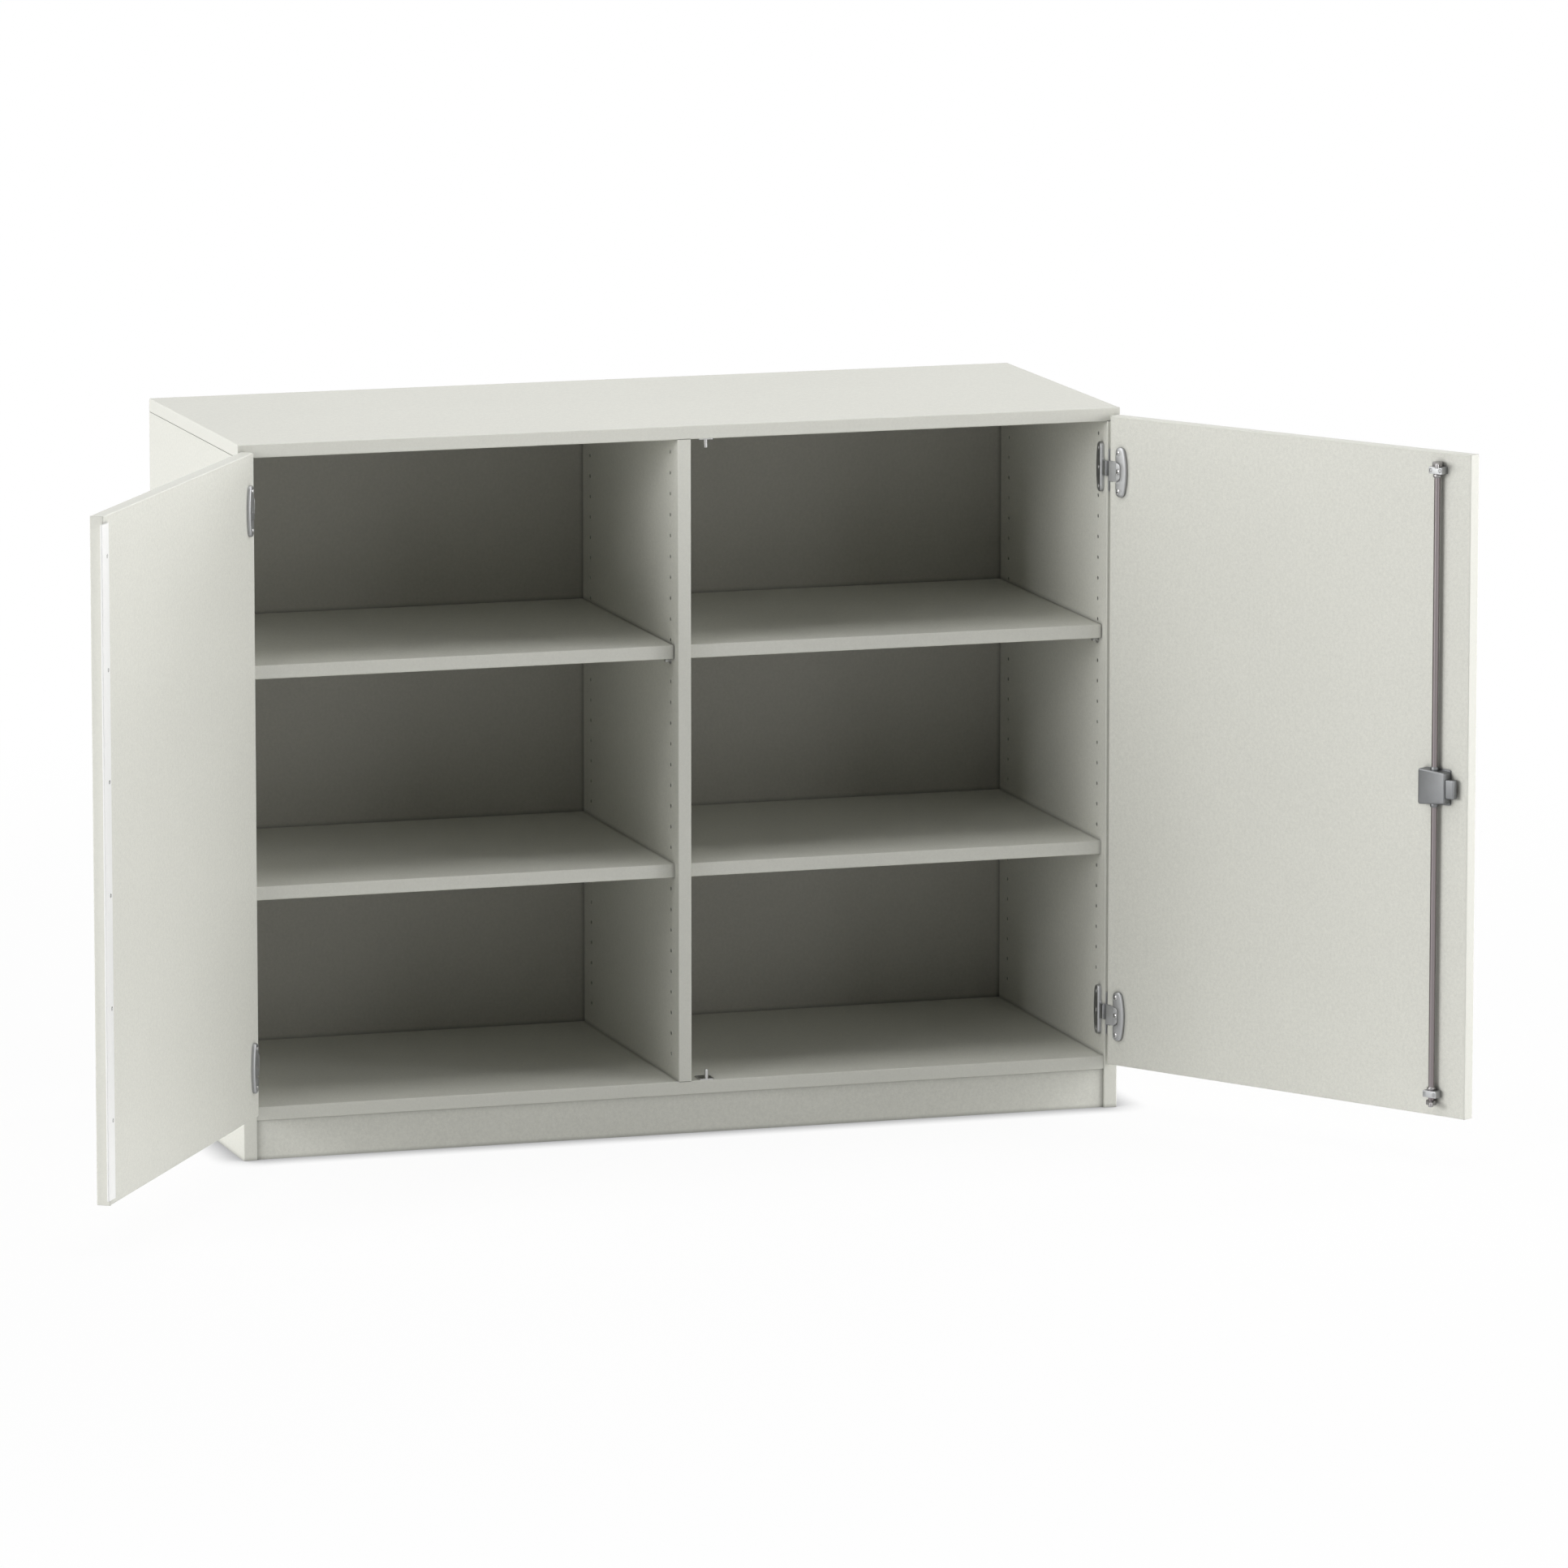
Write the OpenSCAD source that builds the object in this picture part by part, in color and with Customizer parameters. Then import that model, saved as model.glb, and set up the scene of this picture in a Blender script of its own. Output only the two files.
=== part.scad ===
// Two-door storage cupboard with an espagnolette lock, both doors open on their hinge stops.
// Millimetres. Origin at the middle of the front plinth board's underside, +X right, +Y back, +Z up.
// The doors are drawn shut and then turned open about their hinge pins.

/* [Carcass] */
// overall width over the side panels
body_w = 1200; // [800:10:1600]
// overall height to the top surface
body_h = 940; // [700:10:1200]
// overall depth from front edge to back edge of the sides
body_d = 468; // [300:2:600]
// board thickness of every panel but the back
board_t = 18; // [16:1:22]
// height of the plinth boards under the bottom panel
plinth_h = 52; // [30:1:120]
// setback of the plinth's front face from the front edge of the sides
plinth_setback = 4; // [0:1:60]
// setback of the top and bottom panels' front edges from the side edges
cross_setback = 1.5; // [0:0.1:5]
// setback of the partition's front edge from the side edges
partition_setback = 1; // [0:0.1:5]
// thickness of the back panel
back_t = 8; // [3:0.5:12]
// distance from the back edge of the sides to the back panel's inner face
back_setback = 25; // [10:1:60]
// depth of the grooves that hold the back panel
groove_depth = 6; // [3:0.5:9]
// thickness of the plastic edge strips
edge_t = 2; // [0.5:0.5:3]
// radius on the strips' long outer edges
edge_r = 1.5; // [0.5:0.1:2]

/* [Shelves] */
// height of the fixed shelves' upper face
fixed_shelf_top = 358; // [200:1:600]
// height of the adjustable shelves' upper face
loose_shelf_top = 648.5; // [400:0.5:900]
// setback of the shelf fronts from the side edges
shelf_setback = 18; // [5:1:60]
// gap left at each end of an adjustable shelf
loose_shelf_gap = 1; // [0.5:0.1:3]
// height of the lowest hole in the rows
row_first_z = 101.4; // [80:0.1:200]
// spacing of the holes in a row
row_pitch = 27.6; // [20:0.1:40]
// number of holes in a row
row_count = 30; // [4:1:40]
// distance of the front row from the side's front edge
row_front = 35; // [20:1:60]
// distance of the back row from the side's front edge
row_back = 407; // [200:1:440]
// radius of the row holes
row_r = 2.5; // [1.5:0.1:4]
// depth of the row holes in the side panels
row_depth = 12; // [6:1:15]

/* [Doors] */
// width of a door over its edge strips
door_w = 587; // [380:1:790]
// height of a door over its edge strips
door_h = 870; // [500:1:1100]
// height of a door's lower edge
door_z = 61; // [30:1:150]
// thickness of a door
door_t = 18; // [16:1:22]
// gap between a shut door and the side's front edge
door_gap = 2.5; // [1:0.1:5]
// distance of a shut door's hinge edge in from the side's outer face
door_inset = 11.5; // [2:0.5:16]
// how far the doors stand open
door_open = 123.1; // [0:0.1:123.1]
// thickness of the stop strip on the left door
strip_t = 3; // [1.5:0.1:4]
// width of the stop strip on the door's face
strip_in = 12; // [8:1:30]
// width of the stop strip beyond the door's free edge
strip_out = 13; // [8:1:20]

/* [Hinges] */
// height of the upper hinges' middles
hinge_top_z = 857.5; // [500:0.5:1100]
// height of the lower hinges' middles
hinge_low_z = 128; // [80:0.5:400]
// distance of the hinge pin in from the door's hinge edge
pin_in = 0.9; // [0:0.1:4]
// depth of the hinge pin below the door's inner face
pin_deep = 5.8; // [4:0.1:9]
// radius of the hinge pin
pin_r = 2; // [1.5:0.1:3]
// outer radius of the hinge knuckles
knuckle_r = 4; // [3:0.1:5]
// height of the plates on the cabinet side above those on the door
leaf_rise = 2.5; // [0:0.5:5]

/* [Lock] */
// distance of the rod's axis from the right door's free edge
rod_in = 47.5; // [30:0.5:80]
// distance of the rod's axis from the door's inner face
rod_off = 8; // [6:0.5:12]
// radius of the lock rods
rod_r = 4; // [3:0.1:6]
// width of the lock case
case_w = 42.3; // [30:0.1:60]
// height of the lock case
case_h = 47; // [30:1:80]
// projection of the lock case from the door
case_d = 15.6; // [10:0.1:25]
// height of the lock case's lower edge
case_z = 471.8; // [200:0.1:800]
// how far the bolt stands out when drawn back
bolt_out = 12; // [2:0.1:14]
// angle of the hooks away from the door when unlocked
hook_angle = 56; // [40:1:70]

/* [View] */
// which part to draw

/* [Hidden] */
$fn = 48;

front_y = -(plinth_setback + board_t / 2);
half_w = body_w / 2;
side_in = half_w - board_t;
side_top = body_h - board_t;
floor_top = plinth_h + board_t;
groove_y = body_d - back_setback;
part_half = board_t / 2;
bay_w = side_in - part_half;
back_play = 0.5;
groove_play = 0.3;
fit = 0.1;
seam = 0.05;
cut = 1;
hinge_zs = [hinge_top_z, hinge_low_z];

dowel_r = 4;
dowel_taper = 1;
dowel_tip = 1.5;
dowel_len = 30;
dowel_deep = 20;
dowel_shallow = 10;
dowel_end_gap = 0.5;
dowel_ys = [60, 234, 400];
plinth_xs = [-300, 0, 300];
shelf_dowel_side_ys = [70, 380];
shelf_dowel_part_ys = [[85, 365], [110, 340]];
rear_plinth_y = body_d - 28;

support_row = 19;
support_z = row_first_z + row_pitch * support_row;
support_rise = loose_shelf_top - board_t - support_z;
support_in = 8;
support_out = 8;
support_w = 7;
support_below = 1;
collar_t = 1.5;

screw_r = 1.75;
screw_head_r = 3.4;
screw_head_h = 1.9;
screw_len = 14;
screw_point = 3;
screw_point_r = 0.4;
recess_w = 0.7;
hole_r = screw_r + fit;

door_edge_x = half_w - door_inset;
door_in_y = -door_gap;
free_x = door_edge_x - door_w;
hinge_x = door_edge_x - pin_in;
hinge_y = door_in_y - pin_deep;
pin_play = 0.08;
pin_head_r = 3;
pin_head_h = 1.2;
knuckle_gap = 0.5;
knuckle_mid = 13.5;
knuckle_top = 28;
notch_half = 30;
notch_u = 5.6;
notch_skin = 1.4;
notch_depth = 12.4;
arm_start = -1.6;
arm_u = 24;
arm_t = 2;

plate_r = 7.3;
plate_u = 19;
plate_v = 26;
plate_bulge = 3.2;
door_plate_t = 4.5;
cabinet_plate_t = 5.5;
plate_chamfer = 1.4;
leaf_screw_u = 16.3;
leaf_screw_v = 25.5;
cut_half = 12.5;
cut_u = 19;
arm_screw_u = 14.5;
boss_gap = 0.8;
cut_r = 6;
boss_t = 2.2;
boss_start = 10.7;
neck_half = 10;
neck_t = 3.2;
wrap_t = 1.5;
wrap_out = 4;
tall_start = 583.5;
web_t = 2;

strip_z0 = 69;
strip_z1 = 922;
strip_relief = 0.3;
strip_screw_in = 5.5;
strip_screw_zs = [169, 311, 454, 597, 738, 881];
small_r = 1.4;
small_head_r = 2.7;
small_head_h = 1.4;
small_len = 11;

rod_x = free_x + rod_in;
rod_y = door_in_y + rod_off;
rod_play = 0.1;
slide_play = 0.3;
case_mid = case_z + case_h / 2;
case_wall = 1.5;
case_r = 3;
base_t = 1.5;
bush_r = 5.4;
bush_h = 3;
hub_r = 5.8;
hub_half = 11;
bolt_z0 = 482.2;
bolt_z1 = 507.2;
bolt_d0 = 3.4;
bolt_d1 = 13;
bolt_len = 26.6;
guide_w = 21;
guide_d = 13;
guide_h = 9;
guide_r = 1;
guide_zs = [904, 86.5];
guide_screw_dx = 7.3;
collar_r = 5.7;
collar_h = 4.6;
collar_gap = 0.4;
collar_zs = [guide_zs[0] - collar_gap - collar_h, guide_zs[1] + guide_h + collar_gap];
hook_h = 6;
hook_zs = [913.5, 77];
hook_hub_r = 6.8;
hook_len = 20;
hook_half = 3;
hook_turn = 180 - hook_angle;
rod_top = hook_zs[0] + hook_h;
rod_low = hook_zs[1];

strike_x = 30.5;
strike_y = 6.5;
strike_r = 2.5;
strike_tip = 0.8;
strike_corner = 3;
strike_plate_t = 1.5;
strike_plate_w = 20;
strike_plate_y0 = 3;
strike_plate_y1 = 29;
strike_upper_len = 12.5;
strike_lower_len = 14;
strike_screw_dx = 5.5;
strike_screw_y = 21;
strike_screw_len = 12;

core_x = rod_x + 12.5;
core_z = case_mid;
housing_r = 9.5;
core_r = 7;
core_play = 0.1;
cam_r = 5.6;
cam_t = 3;
rosette_r = 14;
rosette_t = 1.6;
rosette_bevel = 1;
key_w = 2;
key_h = 8;
lock_screw_dx = 15;
lock_screw_dz = 18;

c_board = [0.86, 0.86, 0.83];
c_edge = [0.84, 0.84, 0.81];
c_back = [0.8, 0.8, 0.77];
c_metal = [0.62, 0.62, 0.6];
c_screw = [0.75, 0.75, 0.73];
c_strip = [0.93, 0.93, 0.9];
c_wood = [0.8, 0.66, 0.48];
c_brass = [0.78, 0.68, 0.42];

// moves a shape drawn from the sides' front edges into the part's frame
module placed() {
    translate([0, front_y, 0]) children();
}

// opens a shape drawn on the shut right door about its hinge pins
module right_open() {
    placed() translate([hinge_x, hinge_y, 0]) rotate([0, 0, door_open])
        translate([-hinge_x, -hinge_y, 0]) children();
}

// the same for the left door, as its mirror image
module left_open() {
    mirror([1, 0, 0]) right_open() children();
}

// turns a shape drawn as (in from the hinge edge, up, out of the door) onto the shut right door
module on_door(z) {
    translate([door_edge_x, door_in_y, z]) rotate([90, 0, 180]) children();
}

// turns a shape drawn as (back from the front edge, down, inwards) onto the right side panel
module on_side(z) {
    translate([side_in, 0, z]) rotate([-90, 0, 90]) children();
}

// cross-section of an edge strip, its two outer corners rounded
module strip_profile(w) {
    intersection() {
        square([edge_t, w]);
        union() {
            square([edge_t - edge_r, w]);
            translate([0, edge_r]) square([edge_t, w - 2 * edge_r]);
            translate([edge_t - edge_r, edge_r]) circle(r = edge_r);
            translate([edge_t - edge_r, w - edge_r]) circle(r = edge_r);
        }
    }
}

// rectangle with rounded corners, from a corner
module round_rect(w, h, r) {
    translate([r, 0]) square([w - 2 * r, h]);
    translate([0, r]) square([w, h - 2 * r]);
    for (x = [r, w - r], y = [r, h - r]) {
        translate([x, y]) circle(r = r);
    }
}

// edge strip facing forward, standing upright, back face at y = edge_t
module upright_strip(x, z0, z1, w, y) {
    translate([x, y + edge_t, z0]) rotate([0, 0, -90]) linear_extrude(z1 - z0) strip_profile(w);
}

// edge strip facing forward, lying along X
module flat_strip(x0, x1, z, w, y) {
    translate([x0, y + edge_t, z]) rotate([90, 0, 90]) mirror([1, 0]) linear_extrude(x1 - x0)
        strip_profile(w);
}

// countersunk wood screw along -Z with its head's top at z = 0 and a cross recess
module wood_screw(r, head_r, head_h, len) {
    difference() {
        union() {
            translate([0, 0, -head_h]) cylinder(r1 = r, r2 = head_r, h = head_h);
            translate([0, 0, -len + screw_point]) cylinder(r = r, h = len - screw_point);
            translate([0, 0, -len]) cylinder(r1 = screw_point_r, r2 = r, h = screw_point);
        }
        for (a = [0, 90]) {
            rotate([0, 0, a]) translate([-head_r * 0.55, -recess_w / 2, -head_h * 0.6])
                cube([head_r * 1.1, recess_w, head_h]);
        }
    }
}

// hole for a countersunk screw whose head's top is at z = 0
module screw_hole(r, head_r, head_h, len) {
    translate([0, 0, -head_h]) cylinder(r1 = r + fit, r2 = head_r + fit, h = head_h);
    translate([0, 0, -len - fit]) cylinder(r = r + fit, h = len + fit);
    cylinder(r = head_r + fit, h = cut);
}

// wooden dowel along +Z
module dowel() {
    cylinder(r1 = dowel_r - dowel_taper, r2 = dowel_r, h = dowel_tip);
    translate([0, 0, dowel_tip]) cylinder(r = dowel_r, h = dowel_len - 2 * dowel_tip);
    translate([0, 0, dowel_len - dowel_tip])
        cylinder(r1 = dowel_r, r2 = dowel_r - dowel_taper, h = dowel_tip);
}

// hole round a dowel along +Z, a little longer at both ends
module dowel_hole() {
    translate([0, 0, -dowel_end_gap]) cylinder(r = dowel_r + fit, h = dowel_len + 2 * dowel_end_gap);
}

// where each set of dowels lies, used for the dowels and for their holes
module at_side_top() {
    for (s = [-1, 1], y = dowel_ys) {
        translate([s * (half_w - board_t / 2), y, side_top - dowel_deep]) children();
    }
}

module at_part_top() {
    for (y = dowel_ys) {
        translate([0, y, side_top - dowel_deep]) children();
    }
}

module at_part_foot() {
    for (y = dowel_ys) {
        translate([0, y, floor_top - dowel_shallow]) children();
    }
}

module at_bottom_ends() {
    for (s = [-1, 1], y = dowel_ys) {
        translate([s * (side_in - dowel_deep), y, plinth_h + board_t / 2]) rotate([0, s * 90, 0]) children();
    }
}

module at_plinth_ends() {
    for (s = [-1, 1], y = [plinth_setback + board_t / 2, rear_plinth_y + board_t / 2]) {
        translate([s * (side_in - dowel_deep), y, plinth_h / 2]) rotate([0, s * 90, 0]) children();
    }
}

module at_plinth_top() {
    for (x = plinth_xs, y = [plinth_setback + board_t / 2, rear_plinth_y + board_t / 2]) {
        translate([x, y, plinth_h - dowel_deep]) children();
    }
}

module at_shelf_outer() {
    for (s = [-1, 1], y = shelf_dowel_side_ys) {
        translate([s * (side_in - dowel_deep), y, fixed_shelf_top - board_t / 2])
            rotate([0, s * 90, 0]) children();
    }
}

module at_shelf_inner() {
    for (i = [0, 1]) {
        for (y = shelf_dowel_part_ys[i]) {
            translate([(2 * i - 1) * (part_half + dowel_deep), y, fixed_shelf_top - board_t / 2])
                rotate([0, (1 - 2 * i) * 90, 0]) children();
        }
    }
}

// blind row holes and screw holes of the right side panel, drawn as cutters
module side_bores() {
    for (i = [0 : row_count - 1], y = [row_front, row_back]) {
        translate([side_in - cut, y, row_first_z + i * row_pitch]) rotate([0, 90, 0])
            cylinder(r = row_r, h = row_depth + cut);
    }
    for (z = hinge_zs) {
        for (v = [-leaf_screw_v, 0, leaf_screw_v]) {
            translate([side_in - cut, leaf_screw_u, z + leaf_rise + v]) rotate([0, 90, 0])
                cylinder(r = hole_r, h = screw_len - cabinet_plate_t + cut + 1);
        }
    }
}

module right_side_core() {
    difference() {
        translate([side_in, edge_t, 0]) cube([board_t, body_d - edge_t, side_top]);
        translate([side_in - cut, groove_y, -cut])
            cube([groove_depth + cut, back_t + fit, side_top + 2 * cut]);
        side_bores();
        at_side_top() dowel_hole();
        at_bottom_ends() dowel_hole();
        at_plinth_ends() dowel_hole();
        at_shelf_outer() dowel_hole();
    }
}

module left_side_panel() {
    color(c_board) placed() mirror([1, 0, 0]) right_side_core();
}

module right_side_panel() {
    color(c_board) placed() right_side_core();
}

module top_panel() {
    y0 = cross_setback + edge_t;
    color(c_board) placed() difference() {
        translate([-half_w + edge_t, y0, side_top]) cube([body_w - 2 * edge_t, body_d - y0, board_t]);
        translate([-side_in - groove_depth, groove_y, side_top - cut])
            cube([2 * (side_in + groove_depth), back_t + fit, groove_depth + cut]);
        at_side_top() dowel_hole();
        at_part_top() dowel_hole();
        strike_screw_holes(side_top - strike_plate_t, 180);
    }
}

module bottom_panel() {
    y0 = cross_setback + edge_t;
    color(c_board) placed() difference() {
        translate([-side_in, y0, plinth_h]) cube([2 * side_in, body_d - y0, board_t]);
        translate([-side_in - cut, groove_y, floor_top - groove_depth])
            cube([2 * (side_in + cut), back_t + fit, groove_depth + cut]);
        at_bottom_ends() dowel_hole();
        at_part_foot() dowel_hole();
        at_plinth_top() dowel_hole();
        strike_screw_holes(floor_top + strike_plate_t, 0);
    }
}

module centre_partition() {
    y0 = partition_setback + edge_t;
    color(c_board) placed() difference() {
        translate([-part_half, y0, floor_top]) cube([board_t, groove_y - y0, side_top - floor_top]);
        for (i = [0 : row_count - 1], y = [row_front, row_back]) {
            translate([-part_half - cut, y, row_first_z + i * row_pitch]) rotate([0, 90, 0])
                cylinder(r = row_r, h = board_t + 2 * cut);
        }
        at_part_top() dowel_hole();
        at_part_foot() dowel_hole();
        at_shelf_inner() dowel_hole();
    }
}

module back_panel() {
    x = side_in + groove_depth - back_play;
    z0 = floor_top - groove_depth + groove_play;
    z1 = side_top + groove_depth - groove_play;
    color(c_back) placed() translate([-x, groove_y, z0]) cube([2 * x, back_t, z1 - z0]);
}

module plinth_board(y) {
    color(c_board) placed() difference() {
        translate([-side_in, y, 0]) cube([2 * side_in, board_t, plinth_h]);
        at_plinth_ends() dowel_hole();
        at_plinth_top() dowel_hole();
    }
}

module front_plinth_board() {
    plinth_board(plinth_setback);
}

module rear_plinth_board() {
    plinth_board(rear_plinth_y);
}

module fixed_shelf(s) {
    y0 = shelf_setback + edge_t;
    color(c_board) placed() difference() {
        translate([s > 0 ? part_half : -side_in, y0, fixed_shelf_top - board_t])
            cube([bay_w, groove_y - y0, board_t]);
        at_shelf_outer() dowel_hole();
        at_shelf_inner() dowel_hole();
    }
}

module left_fixed_shelf() {
    fixed_shelf(-1);
}

module right_fixed_shelf() {
    fixed_shelf(1);
}

module loose_shelf(s) {
    y0 = shelf_setback + edge_t;
    x0 = s > 0 ? part_half + loose_shelf_gap : -side_in + loose_shelf_gap;
    color(c_board) placed() translate([x0, y0, loose_shelf_top - board_t])
        cube([bay_w - 2 * loose_shelf_gap, groove_y - y0 - 1, board_t]);
}

module left_loose_shelf() {
    loose_shelf(-1);
}

module right_loose_shelf() {
    loose_shelf(1);
}

module side_edge_strips() {
    color(c_edge) placed() for (x = [-half_w, side_in]) {
        upright_strip(x, 0, side_top, board_t, 0);
    }
}

module top_edge_strips() {
    y0 = cross_setback + edge_t;
    color(c_edge) placed() {
        flat_strip(-half_w, half_w, side_top, board_t, cross_setback);
        for (s = [-1, 1]) {
            mirror([s > 0 ? 0 : 1, 0, 0]) translate([half_w - edge_t, body_d, side_top])
                rotate([90, 0, 0]) linear_extrude(body_d - y0 - seam) strip_profile(board_t);
        }
    }
}

module bottom_edge_strip() {
    color(c_edge) placed() flat_strip(-side_in, side_in, plinth_h, board_t, cross_setback);
}

module partition_edge_strip() {
    color(c_edge) placed() upright_strip(-part_half, floor_top, side_top, board_t, partition_setback);
}

module shelf_edge_strips() {
    color(c_edge) placed() for (s = [-1, 1]) {
        x0 = s > 0 ? part_half : -side_in;
        flat_strip(x0, x0 + bay_w, fixed_shelf_top - board_t, board_t, shelf_setback);
        flat_strip(x0 + loose_shelf_gap, x0 + bay_w - loose_shelf_gap, loose_shelf_top - board_t, board_t,
            shelf_setback);
    }
}

module dowels() {
    color(c_wood) placed() {
        at_side_top() dowel();
        at_part_top() dowel();
        at_part_foot() dowel();
        at_bottom_ends() dowel();
        at_plinth_ends() dowel();
        at_plinth_top() dowel();
        at_shelf_outer() dowel();
        at_shelf_inner() dowel();
    }
}

// peg along -X with a rounded seat for the shelf, its hole's mouth at x = 0
module shelf_support() {
    rotate([0, 90, 0]) cylinder(r = row_r - 0.05, h = support_in);
    translate([-collar_t, 0, 0]) rotate([0, 90, 0]) cylinder(r = support_rise - 0.6, h = collar_t);
    translate([-support_out, -support_w / 2, -support_below])
        cube([support_out, support_w, support_rise + support_below]);
}

module shelf_supports() {
    color(c_metal) placed() for (y = [row_front, row_back]) {
        for (s = [-1, 1]) {
            mirror([s > 0 ? 0 : 1, 0, 0]) translate([side_in, y, support_z]) shelf_support();
            mirror([s > 0 ? 1 : 0, 0, 0]) translate([-part_half, y, support_z]) shelf_support();
        }
    }
}

// half-moon plate with a bevelled rim, straight side towards u = 0
module moon_plate(t) {
    hull() for (p = [[0, plate_v], [0, -plate_v], [plate_bulge, 0], [plate_bulge * 0.75, plate_v / 2],
            [plate_bulge * 0.75, -plate_v / 2]]) {
        translate([plate_u + p[0], p[1], 0]) {
            cylinder(r = plate_r, h = t - plate_chamfer);
            translate([0, 0, t - plate_chamfer])
                cylinder(r1 = plate_r, r2 = plate_r - plate_chamfer, h = plate_chamfer);
        }
    }
}

// cabinet leaf on the right side: plate, neck round the front edge and two outer knuckles
module cabinet_leaf(z) {
    color(c_metal) difference() {
        union() {
            on_side(z + leaf_rise) moon_plate(cabinet_plate_t);
            translate([side_in - neck_t, -wrap_t, z + leaf_rise - neck_half])
                cube([neck_t, plate_u + wrap_t, 2 * neck_half]);
            translate([side_in - neck_t, -wrap_t, z + leaf_rise - neck_half])
                cube([hinge_x + wrap_out - side_in + neck_t, wrap_t, 2 * neck_half]);
            translate([tall_start, -wrap_t, z - knuckle_top])
                cube([hinge_x + wrap_out - tall_start, wrap_t, 2 * knuckle_top]);
            for (s = [-1, 1]) {
                z0 = s > 0 ? z + knuckle_mid + knuckle_gap : z - knuckle_top;
                h = knuckle_top - knuckle_mid - knuckle_gap;
                translate([hinge_x + wrap_out - web_t, hinge_y, z0]) cube([web_t, -hinge_y, h]);
                translate([hinge_x, hinge_y, z0]) cylinder(r = knuckle_r, h = h);
            }
        }
        translate([hinge_x, hinge_y, z - knuckle_top - cut])
            cylinder(r = pin_r + 0.05, h = 2 * (knuckle_top + cut));
        for (v = [-leaf_screw_v, 0, leaf_screw_v]) {
            on_side(z + leaf_rise) translate([leaf_screw_u, v, cabinet_plate_t])
                screw_hole(screw_r, screw_head_r, screw_head_h, screw_len);
        }
    }
}

module left_upper_cabinet_leaf() {
    placed() mirror([1, 0, 0]) cabinet_leaf(hinge_top_z);
}

module left_lower_cabinet_leaf() {
    placed() mirror([1, 0, 0]) cabinet_leaf(hinge_low_z);
}

module right_upper_cabinet_leaf() {
    placed() cabinet_leaf(hinge_top_z);
}

module right_lower_cabinet_leaf() {
    placed() cabinet_leaf(hinge_low_z);
}

module hinge_pins() {
    color(c_screw) placed() for (s = [-1, 1], z = hinge_zs) {
        translate([s * hinge_x, hinge_y, z - knuckle_top]) {
            cylinder(r = pin_r, h = 2 * knuckle_top);
            translate([0, 0, 2 * knuckle_top]) cylinder(r1 = pin_head_r, r2 = pin_r, h = pin_head_h);
        }
    }
}

module cabinet_leaf_screws() {
    color(c_screw) placed() for (m = [0, 1], z = hinge_zs, v = [-leaf_screw_v, 0, leaf_screw_v]) {
        mirror([m, 0, 0]) on_side(z + leaf_rise) translate([leaf_screw_u, v, cabinet_plate_t])
            wood_screw(screw_r, screw_head_r, screw_head_h, screw_len);
    }
}

// strike: base plate seen from above and a pin, standing on z = 0
module strike(len) {
    difference() {
        union() {
            translate([strike_x - strike_plate_w / 2, strike_plate_y0, 0]) linear_extrude(strike_plate_t)
                round_rect(strike_plate_w, strike_plate_y1 - strike_plate_y0, strike_corner);
            translate([strike_x, strike_y, 0]) cylinder(r = strike_r, h = len - strike_tip);
            translate([strike_x, strike_y, len - strike_tip])
                cylinder(r1 = strike_r, r2 = strike_r - strike_tip, h = strike_tip);
        }
        for (s = [-1, 1]) {
            translate([strike_x + s * strike_screw_dx, strike_screw_y, strike_plate_t])
                screw_hole(small_r, small_head_r, small_head_h, strike_screw_len);
        }
    }
}

// cutters for the two strike screws, heads at height z, turned over for the top panel
module strike_screw_holes(z, turn) {
    for (s = [-1, 1]) {
        translate([strike_x + s * strike_screw_dx, strike_screw_y, z]) rotate([turn, 0, 0])
            translate([0, 0, -strike_screw_len - fit])
                cylinder(r = small_r + fit, h = strike_screw_len + fit);
    }
}

module upper_strike() {
    color(c_screw) placed() translate([0, 0, side_top]) mirror([0, 0, 1]) strike(strike_upper_len);
}

module lower_strike() {
    color(c_screw) placed() translate([0, 0, floor_top]) strike(strike_lower_len);
}

module strike_screws() {
    color(c_screw) placed() for (s = [-1, 1]) {
        x = strike_x + s * strike_screw_dx;
        translate([x, strike_screw_y, floor_top + strike_plate_t])
            wood_screw(small_r, small_head_r, small_head_h, strike_screw_len);
        translate([x, strike_screw_y, side_top - strike_plate_t]) rotate([180, 0, 0])
            wood_screw(small_r, small_head_r, small_head_h, strike_screw_len);
    }
}

// cutters for one hinge in a shut right door: knuckle notch, arm recess and screw holes
module hinge_notch(z) {
    on_door(z) {
        translate([-cut, -notch_half, -notch_depth])
            cube([notch_u + cut, 2 * notch_half, notch_depth - notch_skin]);
        translate([-cut, -knuckle_mid - knuckle_gap, -notch_depth])
            cube([notch_u + cut, 2 * (knuckle_mid + knuckle_gap), notch_depth + cut]);
        translate([-cut, -knuckle_mid - fit, -arm_t - fit])
            cube([arm_u + cut + fit, 2 * (knuckle_mid + fit), arm_t + fit + cut]);
        for (v = [-leaf_screw_v, leaf_screw_v]) {
            translate([leaf_screw_u, v, door_plate_t - screw_len - 1]) cylinder(r = hole_r, h = screw_len);
        }
        translate([arm_screw_u, 0, boss_t - screw_len - 1]) cylinder(r = hole_r, h = screw_len);
    }
}

// board of a shut right door without its edge strips
module door_board() {
    difference() {
        translate([free_x + edge_t, door_in_y - door_t, door_z + edge_t])
            cube([door_w - 2 * edge_t, door_t, door_h - 2 * edge_t]);
        for (z = hinge_zs) {
            hinge_notch(z);
        }
    }
}

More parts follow.
